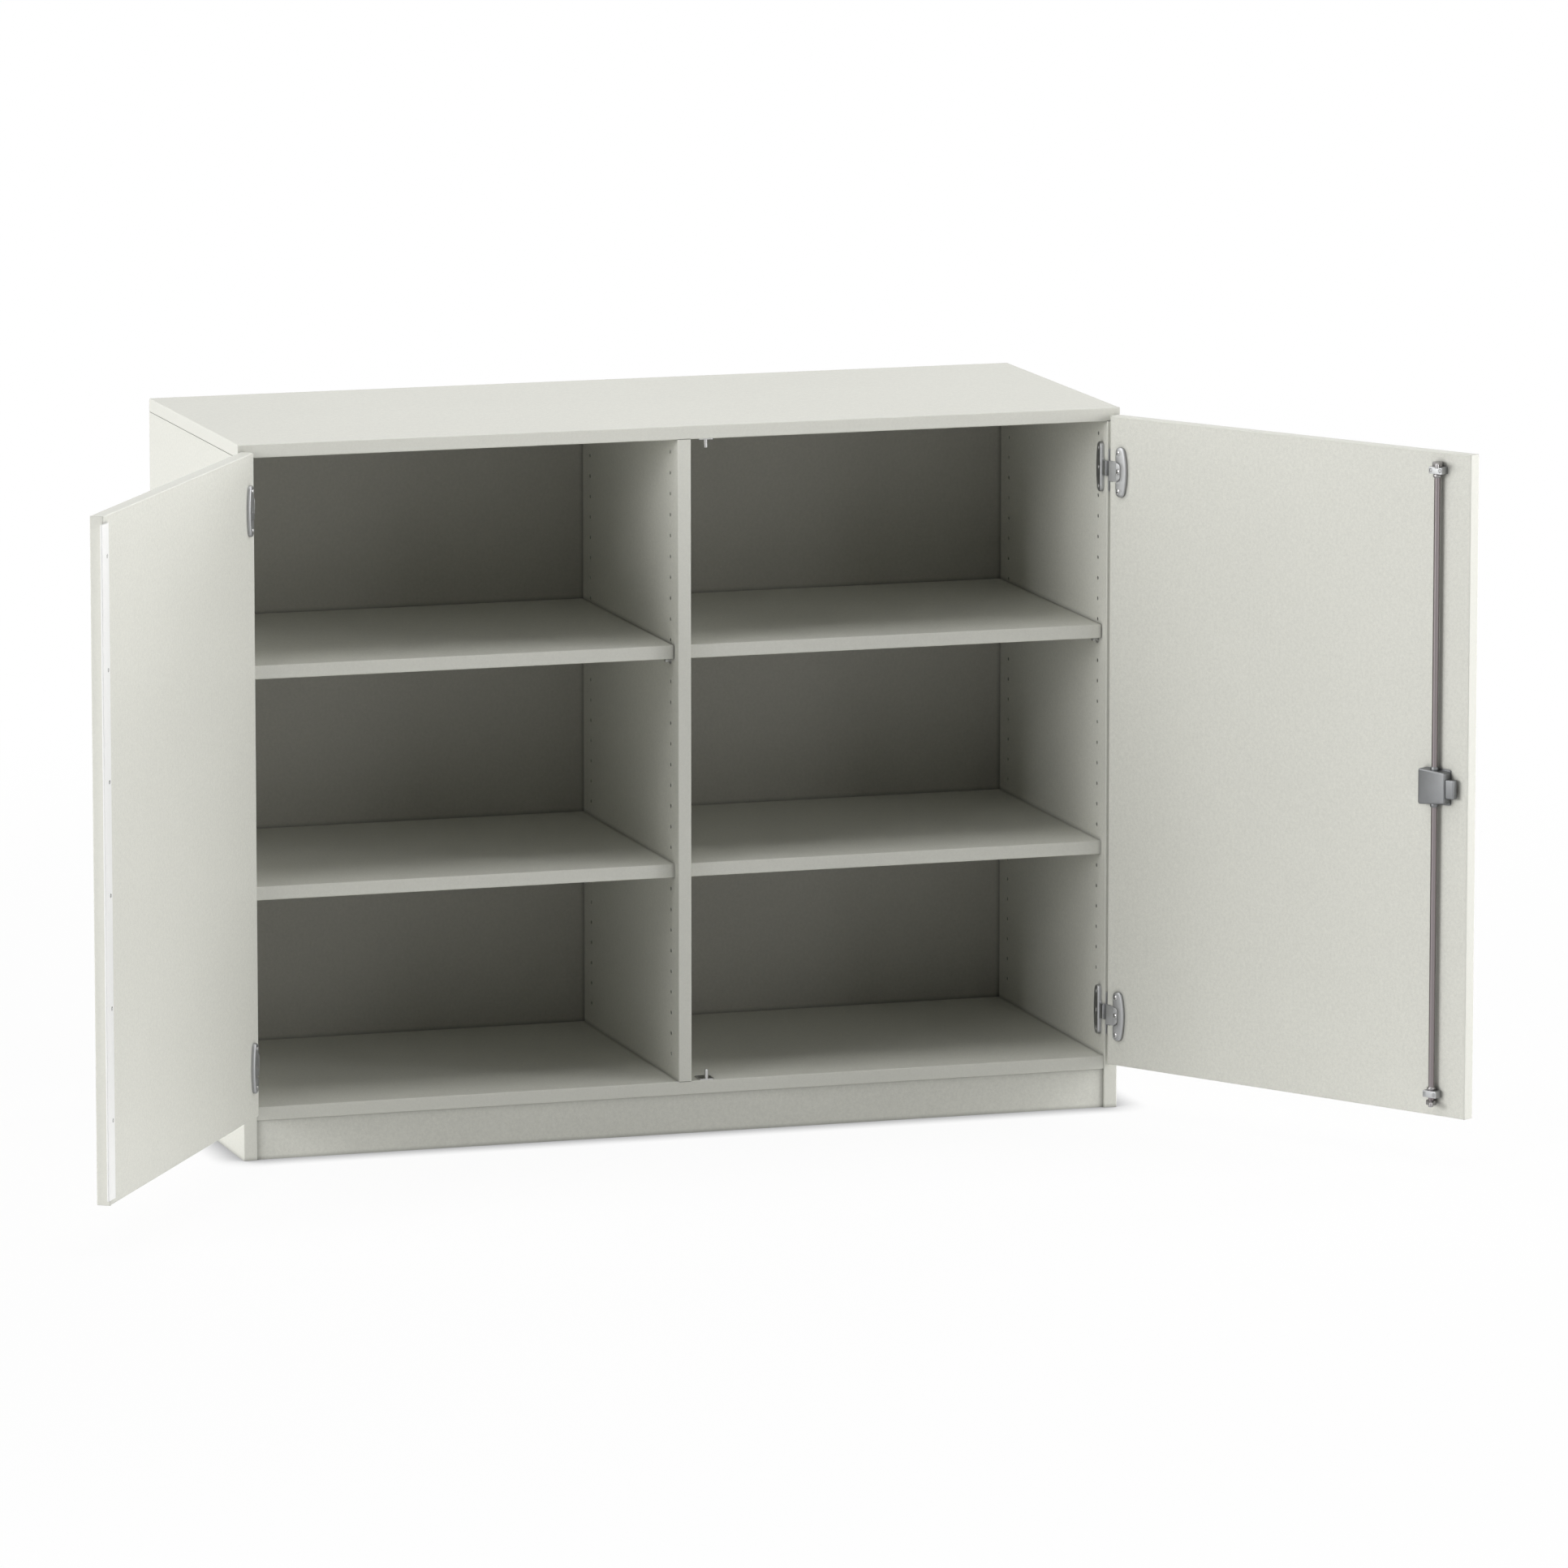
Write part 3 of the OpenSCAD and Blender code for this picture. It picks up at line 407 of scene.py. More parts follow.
@dataclass(frozen=True)
class Arc:
    """One arc of an outline, in mm and degrees; hollow where the outline bends inwards round it."""

    u: float
    v: float
    r: float
    start: float
    end: float
    hollow: bool = False
    steps: int = 8

    def points(self, inset: float) -> np.ndarray:
        """Points along the arc moved in by inset: a round corner shrinks and a hollow one grows.

        The point at angle a is (u + radius * cos a, v + radius * sin a).

        Args:
            inset: The distance that the arc moves in.

        Returns:
            An array of (u, v) points.
        """
        radius = self.r + inset if self.hollow else self.r - inset
        angle = np.radians(np.linspace(self.start, self.end, self.steps))
        return np.stack([self.u + radius * np.cos(angle), self.v + radius * np.sin(angle)], axis=1)


def outline(arcs: list[Arc], inset: float = 0.0) -> np.ndarray:
    """A closed outline: its arcs in turn, joined by straight stretches.

    Args:
        arcs: The arcs, anticlockwise.
        inset: How far inside the true outline the points lie, in mm.

    Returns:
        An array of (u, v) points.
    """
    return np.concatenate([arc.points(inset) for arc in arcs])


def block(u0: float, u1: float, v0: float, v1: float, r: float) -> list[Arc]:
    """A rectangle with corners of radius r, as four arcs.

    Args:
        u0: Least u.
        u1: Greatest u.
        v0: Least v.
        v1: Greatest v.
        r: Corner radius.

    Returns:
        The arcs, anticlockwise.
    """
    return [
        Arc(u1 - r, v0 + r, r, -90, 0),
        Arc(u1 - r, v1 - r, r, 0, 90),
        Arc(u0 + r, v1 - r, r, 90, 180),
        Arc(u0 + r, v0 + r, r, 180, 270),
    ]


class Shells:
    """Closed shells gathered into one mesh."""

    def __init__(self) -> None:
        """Starts with no shell."""
        self.points: list[np.ndarray] = []
        self.faces: list[list[int]] = []
        self.count = 0

    def add(self, points: np.ndarray, faces: list[np.ndarray], where: np.ndarray) -> None:
        """Adds one shell.

        Args:
            points: Its points in its own frame, in mm.
            faces: Arrays of faces, one array for each number of corners, outward in its own frame.
            where: The 4 x 4 matrix to the cupboard's frame; a mirrored one turns faces over.
        """
        placed = points @ where[:3, :3].T + where[:3, 3]
        mirrored = np.linalg.det(where[:3, :3]) < 0
        for kind in faces:
            shifted = np.atleast_2d(kind) + self.count
            self.faces.extend((shifted[:, ::-1] if mirrored else shifted).tolist())
        self.points.append(placed)
        self.count += len(points)

    def slab(self, arcs: list[Arc], low: float, high: float, rim: float, where: np.ndarray,
             pits: list[tuple] | None = None) -> None:
        """Adds a flat piece with a quarter-round upper rim and a small bevel at its lower rim.

        Row k of the wall is the outline moved in by rim * (1 - cos a) at height
        high - rim + rim * sin a, with a from 0 to 90 degrees. Each pit is a cone sunk into the
        upper face, with a flat bottom.

        Args:
            arcs: The outline.
            low: Height of the lower face.
            high: Height of the upper face.
            rim: Radius of the upper rim.
            where: Matrix to the cupboard's frame.
            pits: Pits in the upper face, each (u, v, upper radius, lower radius, depth).
        """
        bevel = 0.15
        turn = np.radians(np.linspace(0.0, 90.0, 5))
        insets = np.concatenate([[bevel, 0.0], rim * (1.0 - np.cos(turn))])
        heights = np.concatenate([[low, low + bevel], high - rim + rim * np.sin(turn)])
        rings = [raised(outline(arcs, i), h) for i, h in zip(insets, heights)]
        rows, around = len(rings), len(rings[0])
        first = np.arange(around)
        if not pits:
            ends = [first[::-1], first + (rows - 1) * around]
            self.add(np.concatenate(rings), [wall_faces(rows, around), *ends], where)
            return
        steps = 24
        angle = np.linspace(0.0, -2.0 * np.pi, steps, endpoint=False)
        circle = np.column_stack([np.cos(angle), np.sin(angle)])
        holes = [raised(circle * pit[2] + pit[:2], high) for pit in pits]
        floors = [raised(circle * pit[3] + pit[:2], high - pit[4]) for pit in pits]
        loops = [[Vector(p) for p in loop] for loop in (rings[-1], *holes)]
        upper = np.array(tessellate_polygon(loops))
        points = np.concatenate([*rings, *holes, *floors])
        upper = upper + (rows - 1) * around
        corners = points[upper]
        lean = np.cross(corners[:, 1] - corners[:, 0], corners[:, 2] - corners[:, 0])[:, 2]
        upper[lean < 0] = upper[lean < 0][:, ::-1]
        base, gap = rows * around, len(pits) * steps
        pair = np.arange(2)[:, None] * gap
        cones = [wall_faces(2, steps, pair + base + k * steps) for k in range(len(pits))]
        bottoms = [np.arange(steps)[::-1] + base + gap + k * steps for k in range(len(pits))]
        self.add(points, [wall_faces(rows, around), first[::-1], upper, *cones, *bottoms], where)

    def lathe(self, radii: np.ndarray, heights: np.ndarray, where: np.ndarray,
              steps: int = 40) -> None:
        """Adds a ring turned about its own w axis from a closed section.

        The point at row k and turn a is (radius k * cos a, radius k * sin a, height k), and the
        last row joins the first.

        Args:
            radii: The section's radii, in the order that runs up the outside.
            heights: The section's heights.
            where: Matrix to the cupboard's frame.
            steps: Points round the ring.
        """
        angle = np.linspace(0.0, 2.0 * np.pi, steps, endpoint=False)
        around = np.stack([np.cos(angle), np.sin(angle)], axis=1)
        flat = radii[:, None, None] * around[None]
        rise = np.broadcast_to(heights[:, None, None], (len(radii), steps, 1))
        points = np.concatenate([flat, rise], axis=2).reshape(-1, 3)
        self.add(points, [wall_faces(len(radii), steps, closed=True)], where)

    def ring(self, inner: float, outer: float, low: float, high: float, where: np.ndarray,
             soft: float = 0.35) -> None:
        """Adds a round ring about its own w axis with softened outer edges.

        Args:
            inner: Bore radius.
            outer: Outside radius.
            low: Height of the lower face.
            high: Height of the upper face.
            where: Matrix to the cupboard's frame.
            soft: Size of the softened edges.
        """
        part = soft * 0.3
        side = [outer - soft, outer - part, outer]
        radii = np.array([inner, *side, *side[::-1], inner])
        heights = np.array([low, low, low + part, low + soft, high - soft, high - part, high, high])
        self.lathe(radii, heights, where)

    def collar(self, inner: float, outer: float, low: float, high: float,
               where: np.ndarray) -> None:
        """Adds a round-backed ring: its section's outer side is half an ellipse from low to high.

        At angle a from -90 to 90 degrees the radius is root + (outer - root) * cos a and the
        height is middle + half * sin a, where root lies 0.3 mm outside the bore.

        Args:
            inner: Bore radius.
            outer: Largest outside radius.
            low: Height of the lower face.
            high: Height of the upper face.
            where: Matrix to the cupboard's frame.
        """
        angle = np.radians(np.linspace(-90.0, 90.0, 15))
        root = inner + 0.3
        radii = np.concatenate([[inner], root + (outer - root) * np.cos(angle), [inner]])
        middle, half = (low + high) / 2, (high - low) / 2
        heights = np.concatenate([[low], middle + half * np.sin(angle), [high]])
        self.lathe(radii, heights, where)

    def screw(self, r: float, head_r: float, head_h: float, length: float, where: np.ndarray,
              domed: float = 0.3) -> None:
        """Adds a countersunk screw with a domed head: the head's edge at height 0, the point down.

        The head is a disc of rings: its height is a shallow dome, less a cross-shaped dent. The
        dent fades in over fade mm at the sides and ends of its two arms.

        Args:
            r: Radius of the shank.
            head_r: Radius of the head.
            head_h: Depth of the cone under the head.
            length: Length from the head's edge to the point.
            where: Matrix to the cupboard's frame.
            domed: Height of the dome as a share of the head's radius.
        """
        steps, point_r, point_h, skirt, rim = 40, 0.3, 3.0, 0.25, 0.1
        fade, arm, deep = 0.2, (0.14, 0.6), 1.1
        rings = np.array([0.93, 0.85, 0.75, 0.62, 0.5, 0.38, 0.28, 0.18, 0.08])
        radii = np.concatenate([[point_r, r, r, head_r - rim, head_r], head_r * rings])
        cup = domed * head_r
        dome = cup * (1.0 - (radii[4:] / head_r) ** 2)
        heights = np.concatenate([[-length, -length + point_h, -head_h, -skirt], dome])
        angle = np.linspace(0.0, 2.0 * np.pi, steps, endpoint=False)
        x = radii[:, None] * np.cos(angle)
        y = radii[:, None] * np.sin(angle)
        z = np.repeat(heights[:, None], steps, axis=1)
        near, far = np.minimum(abs(x), abs(y)), np.maximum(abs(x), abs(y))
        across = np.clip((arm[0] * head_r - near) / fade + 0.5, 0, 1)
        along = np.clip((arm[1] * head_r - far) / fade + 0.5, 0, 1)
        z[4:] -= deep * cup * (across * along)[4:]
        points = np.stack([x, y, z], axis=2).reshape(-1, 3)
        first = np.arange(steps)
        ends = [first[::-1], first + (len(radii) - 1) * steps]
        self.add(points, [wall_faces(len(radii), steps), *ends], where)

    def piece(self, name: str, finish: bpy.types.Material,
              crease: float = 32.0) -> bpy.types.Object:
        """Makes the object, in metres, with smooth shading up to the crease angle.

        Args:
            name: The object's name.
            finish: Its material.
            crease: Angle past which an edge stays sharp, in degrees.

        Returns:
            The new object.
        """
        mesh = bpy.data.meshes.new(name)
        mesh.from_pydata((np.concatenate(self.points) * MM).tolist(), [], self.faces)
        mesh.update()
        mesh.polygons.foreach_set("use_smooth", np.ones(len(mesh.polygons), bool))
        mesh.set_sharp_from_angle(angle=math.radians(crease))
        mesh.materials.append(finish)
        made = bpy.data.objects.new(name, mesh)
        bpy.context.scene.collection.objects.link(made)
        return made


def raised(flat: np.ndarray, height: float) -> np.ndarray:
    """Flat (u, v) points given one height."""
    return np.column_stack([flat, np.full(len(flat), height)])


def wall_faces(rows: int, around: int, index: np.ndarray | None = None,
               closed: bool = False) -> np.ndarray:
    """Quads between neighbouring rows of a closed wall, outward for anticlockwise rows that go up.

    Args:
        rows: Number of rows.
        around: Points in a row.
        index: Number of each row's first point, or None where rows follow each other from 0.
        closed: Whether the last row joins the first.

    Returns:
        An array of quads.
    """
    starts = np.arange(rows) * around if index is None else np.ravel(index)
    following = np.roll(starts, -1)
    if not closed:
        starts, following = starts[:-1], following[:-1]
    step = np.arange(around)
    after = (step + 1) % around
    a, b = starts[:, None], following[:, None]
    return np.stack([a + step, a + after, b + after, b + step], axis=2).reshape(-1, 4)


def frame_matrix(u: tuple, v: tuple, w: tuple, at: tuple) -> np.ndarray:
    """The matrix whose columns are the directions u, v and w, placed at a point.

    Args:
        u: Direction of the first axis.
        v: Direction of the second axis.
        w: Direction of the third axis.
        at: The point.

    Returns:
        A 4 x 4 matrix.
    """
    whole = np.eye(4)
    whole[:3, :3] = np.array([u, v, w], float).T
    whole[:3, 3] = at
    return whole


def moved(x: float, y: float, z: float) -> np.ndarray:
    """The matrix of a plain move."""
    return frame_matrix((1, 0, 0), (0, 1, 0), (0, 0, 1), (x, y, z))


def turned(degrees: float) -> np.ndarray:
    """The matrix of a turn about the upright axis.

    Args:
        degrees: The turn, anticlockwise from above.

    Returns:
        A 4 x 4 matrix.
    """
    angle = math.radians(degrees)
    cosine, sine = math.cos(angle), math.sin(angle)
    return frame_matrix((cosine, sine, 0), (-sine, cosine, 0), (0, 0, 1), (0, 0, 0))


# The cupboard's own layout, in the shut pose and measured from the sides' front edges


@dataclass(frozen=True)
class Layout:
    """Places that the doors, hinges, screws and lock share."""

    front_y: float = -13.0
    side_in: float = 582.0
    door_edge: float = 588.5
    door_w: float = 587.0
    door_in: float = -2.5
    hinge_x: float = 587.6
    hinge_y: float = -8.3
    opened: float = 123.1
    rod_x: float = 49.0
    rod_y: float = 5.5
    strip_t: float = 3.0

    def carcass(self, hand: Hand) -> np.ndarray:
        """Matrix from the right-hand side's front-edge frame to the cupboard's frame."""
        mirror = np.diag([-1.0, 1.0, 1.0, 1.0]) if hand is Hand.LEFT else np.eye(4)
        return mirror @ moved(0, self.front_y, 0)

    def door(self, hand: Hand) -> np.ndarray:
        """Matrix from the shut right door to that hand's open door: a turn about the hinge pins.

        Args:
            hand: The door's hand.

        Returns:
            A 4 x 4 matrix.
        """
        away = moved(self.hinge_x, self.hinge_y, 0)
        back = moved(-self.hinge_x, -self.hinge_y, 0)
        return self.carcass(hand) @ away @ turned(self.opened) @ back

    def on_door(self, hand: Hand, height: float) -> np.ndarray:
        """Matrix from (in from the hinge edge, up, out of the door) to the cupboard's frame."""
        corner = (self.door_edge, self.door_in, height)
        return self.door(hand) @ frame_matrix((-1, 0, 0), (0, 0, 1), (0, 1, 0), corner)

    def on_side(self, hand: Hand, height: float) -> np.ndarray:
        """Matrix from (back from the front edge, up, in from the side) to the cupboard's frame."""
        local = frame_matrix((0, 1, 0), (0, 0, 1), (-1, 0, 0), (self.side_in, 0, height))
        return self.carcass(hand) @ local


LAYOUT = Layout()


# Sub-assemblies


def dress(nodes: list[str], finish: bpy.types.Material) -> None:
    """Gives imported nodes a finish.

    Args:
        nodes: The nodes' names.
        finish: The material.
    """
    for name in nodes:
        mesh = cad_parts[name].data
        mesh.materials.clear()
        mesh.materials.append(finish)
        log.info("%s: %s", name, finish.name)


def seat(piece: bpy.types.Object, node: str, body: str) -> None:
    """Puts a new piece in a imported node's place.

    Args:
        piece: The new piece.
        node: The node that it replaces.
        body: The body that it moves with.
    """
    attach(piece, body)
    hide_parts(node)
    log.info("%s in place of %s", piece.name, node)


@dataclass
class Carcass:
    """The boards, their edge strips, the shelves and what holds them."""

    finishes: Finishes
    boards: list[str] = field(default_factory=lambda: [
        "left_side_panel", "right_side_panel", "top_panel", "bottom_panel", "centre_partition",
        "front_plinth_board", "rear_plinth_board", "left_fixed_shelf", "right_fixed_shelf",
        "left_loose_shelf", "right_loose_shelf",
    ])
    strips: list[str] = field(default_factory=lambda: [
        "side_edge_strips", "top_edge_strips", "bottom_edge_strip", "partition_edge_strip",
        "shelf_edge_strips",
    ])
    fittings: list[str] = field(default_factory=lambda: [
        "shelf_supports", "hinge_pins", "upper_strike", "lower_strike", "strike_screws",
    ])

    def build(self) -> None:
        """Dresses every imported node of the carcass."""
        dress(self.boards, self.finishes.board)
        dress(["back_panel"], self.finishes.back)
        dress(self.strips, self.finishes.edging)
        dress(["dowels"], self.finishes.beech)
        dress(self.fittings, self.finishes.bright)


@dataclass
class Doors:
    """Both door boards with their edge strips, and the left door's stop strip."""

    finishes: Finishes
    strip_in: float = 12.0
    strip_out: float = 13.0
    strip_low: float = 69.0
    strip_high: float = 922.0
    relief: float = 0.3
    nose_r: float = 1.3
    heel_r: float = 0.5
    end_rim: float = 0.04

    def stop_strip(self) -> bpy.types.Object:
        """Makes the stop strip: a flat section with a round nose, drawn up along the left door.

        Returns:
            The new piece.
        """
        shells = Shells()
        edge, face = LAYOUT.door_edge - LAYOUT.door_w, LAYOUT.door_in
        outer, inner, top = edge - self.strip_out, edge + self.strip_in, face + LAYOUT.strip_t
        step, corner = face + self.relief, 0.05
        section = [
            Arc(edge + corner, face + corner, corner, 180, 270, steps=2),
            Arc(inner - corner, face + corner, corner, 270, 360, steps=2),
            Arc(inner - self.heel_r, top - self.heel_r, self.heel_r, 0, 90, steps=5),
            Arc(outer + self.nose_r, top - self.nose_r, self.nose_r, 90, 180, steps=8),
            Arc(outer + self.heel_r, step + self.heel_r, self.heel_r, 180, 270, steps=5),
            Arc(edge - corner, step - corner, corner, 90, 0, hollow=True, steps=2),
        ]
        where = LAYOUT.door(Hand.LEFT)
        shells.slab(section, self.strip_low, self.strip_high, self.end_rim, where)
        return shells.piece("stop_strip_moulding", self.finishes.strip)

    def build(self) -> None:
        """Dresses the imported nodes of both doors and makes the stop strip."""
        dress(["left_door_panel", "right_door_panel"], self.finishes.board)
        dress(["left_door_edge_strips", "right_door_edge_strips"], self.finishes.edging)
        seat(self.stop_strip(), "stop_strip", "left_door")


@dataclass
class Hinge:
    """One wrap-round hinge: a half-moon leaf on the side panel and one on the door.

    On a plate u runs in from the board's edge at the hinge, v up and w out of the board. Fields
    that start with end give the plate's two round ends, and those with arm the strip that lies
    flush in the door. The knuckles and the neck are measured up and down from the middle.
    """

    finishes: Finishes
    hand: Hand
    level: Level
    end_r: float = 7.3
    end_u: float = 19.0
    end_v: float = 26.0
    bulge: float = 3.2
    straight_u: float = 11.7
    door_t: float = 4.5
    side_t: float = 5.5
    rim: float = 2.0
    rise: float = 2.5
    screw_u: float = 16.3
    screw_v: float = 25.5
    arm_screw_u: float = 14.5
    pin_bore: float = 2.1
    knuckle_r: float = 4.0
    knuckle_mid: float = 13.5
    knuckle_gap: float = 0.5
    knuckle_top: float = 28.0
    arm_end: float = 24.0
    arm_start: float = -1.6
    arm_t: float = 2.0
    boss_t: float = 2.2
    neck_half: float = 10.0
    neck_t: float = 3.2
    wrap_t: float = 1.5
    wrap_out: float = 4.0
    tall_x: float = 583.5
    pit_r: float = 3.75
    pit_foot: float = 1.9
    pit_h: float = 2.05

    @property
    def where(self) -> str:
        """The start of the names of this hinge's pieces."""
        return f"{self.hand.value}_{self.level.name.lower()}"

    def moon(self, mouth: float = 0.0, deep: float = 19.0, corner: float = 6.0) -> list[Arc]:
        """Outline of a half-moon plate, its straight side towards u = 0.

        Two round ends are joined by a wide arc through the bulge. Where mouth is given, the
        straight side has a round-cornered cut-out of that half height.

        Args:
            mouth: Half height of the cut-out, or 0 for none.
            deep: How far in from the door's edge the cut-out reaches.
            corner: Radius of the cut-out's corners.

        Returns:
            The outline's arcs, anticlockwise.
        """
        wide_r = (self.end_v ** 2 + self.bulge ** 2) / (2.0 * self.bulge) + self.end_r
        wide_u = self.end_u + self.bulge + self.end_r - wide_r
        lean = math.degrees(math.atan2(self.end_v, self.end_u - wide_u))
        arcs = [
            Arc(self.end_u, -self.end_v, self.end_r, 180, 360 - lean, steps=20),
            Arc(wide_u, 0.0, wide_r, -lean + 0.5, lean - 0.5, steps=24),
            Arc(self.end_u, self.end_v, self.end_r, lean, 180, steps=20),
        ]
        if mouth:
            lip = self.rim + 0.1
            arcs += [
                Arc(self.straight_u + lip, mouth + lip, lip, 180, 270, steps=6),
                Arc(deep - corner, mouth - corner, corner, 90, 0, hollow=True, steps=12),
                Arc(deep - corner, corner - mouth, corner, 0, -90, hollow=True, steps=12),
                Arc(self.straight_u + lip, -mouth - lip, lip, 90, 180, steps=6),
            ]
        return arcs

    def pit(self, u: float, v: float) -> tuple:
        """A countersunk pit for one wood screw."""
        return (u, v, self.pit_r, self.pit_foot, self.pit_h)

    def knuckle(self, shells: Shells, base: np.ndarray, low: float, high: float) -> None:
        """Adds one knuckle round the hinge pin.

        Args:
            shells: Where it goes.
            base: The body's own matrix.
            low: Height of its lower end above the hinge's middle.
            high: Height of its upper end.
        """
        pin = base @ moved(LAYOUT.hinge_x, LAYOUT.hinge_y, self.level.value)
        shells.ring(self.pin_bore, self.knuckle_r, low, high, pin)

    def side_leaf(self) -> bpy.types.Object:
        """Makes the leaf on the side: plate, flared neck, wrap round the edge and two knuckles.

        Returns:
            The new piece.
        """
        shells = Shells()
        base = LAYOUT.carcass(self.hand)
        plate = LAYOUT.on_side(self.hand, self.level.value + self.rise)
        pits = [self.pit(self.screw_u, v) for v in (-self.screw_v, 0.0, self.screw_v)]
        shells.slab(self.moon(), 0.0, self.side_t, self.rim, plate, pits)
        flare, half, throat, corner, far = 4.0, self.neck_half, 8.0, 0.8, 0.5
        neck = [
            Arc(0.0, -half + corner, corner, 180, 270, steps=5),
            Arc(throat, -half - flare, flare, 90, 10, hollow=True, steps=8),
            Arc(self.end_u, -half - flare, far, -90, 0, steps=3),
            Arc(self.end_u, half + flare, far, 0, 90, steps=3),
            Arc(throat, half + flare, flare, -10, -90, hollow=True, steps=8),
            Arc(0.0, half - corner, corner, 90, 180, steps=5),
        ]
        shells.slab(neck, low=0.05, high=self.neck_t, rim=0.7, where=plate)
        flat = frame_matrix((1, 0, 0), (0, 0, 1), (0, -1, 0), (0, 0, self.level.value))
        out = LAYOUT.hinge_x + self.wrap_out
        lift, tuck, low_r, tall_r, web_r, web_t, web_in = 0.02, 0.03, 0.6, 2.5, 0.3, 2.0, 0.04
        inner = LAYOUT.side_in - self.neck_t + tuck
        low = block(inner, out - 1, self.rise - half, self.rise + half, low_r)
        shells.slab(low, lift, self.wrap_t, rim=0.4, where=base @ flat)
        tall = block(self.tall_x, out, -self.knuckle_top, self.knuckle_top, tall_r)
        shells.slab(tall, lift, self.wrap_t + 0.05, rim=0.5, where=base @ flat)
        start = self.knuckle_mid + self.knuckle_gap
        for low_end, high_end in ((start, self.knuckle_top), (-self.knuckle_top, -start)):
            self.knuckle(shells, base, low_end, high_end)
            web = block(out - web_t, out - web_in, LAYOUT.hinge_y, -0.2, web_r)
            where = base @ moved(0, 0, self.level.value)
            shells.slab(web, low_end, high_end, rim=0.4, where=where)
        return shells.piece(f"{self.where}_side_leaf", self.finishes.casting)

    def door_leaf(self) -> bpy.types.Object:
        """Makes the leaf on the door: plate with a cut-out, flush arm, boss and middle knuckle.

        Returns:
            The new piece.
        """
        shells = Shells()
        plate = LAYOUT.on_door(self.hand, self.level.value)
        base = LAYOUT.door(self.hand)
        pits = [self.pit(self.screw_u, v) for v in (-self.screw_v, self.screw_v)]
        shells.slab(self.moon(mouth=12.5), 0.0, self.door_t, self.rim, plate, pits)
        arm = block(self.arm_start, self.arm_end, -self.knuckle_mid, self.knuckle_mid, r=0.4)
        shells.slab(arm, low=-self.arm_t, high=0.1, rim=0.2, where=plate)
        heel, heel_r, nose, nose_r = (11.3, 11.1), 0.6, (13.0, 6.5), 5.2
        boss = [
            Arc(heel[0], -heel[1], heel_r, 180, 270, steps=4),
            Arc(nose[0], -nose[1], nose_r, -90, 0, steps=12),
            Arc(nose[0], nose[1], nose_r, 0, 90, steps=12),
            Arc(heel[0], heel[1], heel_r, 90, 180, steps=4),
        ]
        pits = [self.pit(self.arm_screw_u, 0.0)]
        shells.slab(boss, low=-1.0, high=self.boss_t, rim=0.6, where=plate, pits=pits)
        self.knuckle(shells, base, -self.knuckle_mid, self.knuckle_mid)
        out, inner, foot = LAYOUT.hinge_x + self.wrap_out, LAYOUT.door_in, LAYOUT.hinge_y + 0.2
        bend, back, small, tiny = 2.4, 3.2, 0.3, 0.2
        elbow = [
            Arc(out - 0.6, foot, tiny, -90, 0, steps=3),
            Arc(out - bend, inner - bend, bend, 0, 70, steps=8),
            Arc(out - back, inner - small, small, 90, 180, steps=3),
            Arc(out - back, inner - self.arm_t + 0.1, small, 180, 270, steps=3),
            Arc(out - 1.8, foot, tiny, 180, 270, steps=3),
        ]
        where = base @ moved(0, 0, self.level.value)
        shells.slab(elbow, -self.knuckle_mid, self.knuckle_mid, rim=0.15, where=where)
        return shells.piece(f"{self.where}_moon_leaf", self.finishes.casting)

    def build(self) -> None:
        """Makes both leaves in their nodes' places."""
        seat(self.side_leaf(), f"{self.where}_cabinet_leaf", "carcass")
        seat(self.door_leaf(), f"{self.where}_door_leaf", f"{self.hand.value}_door")


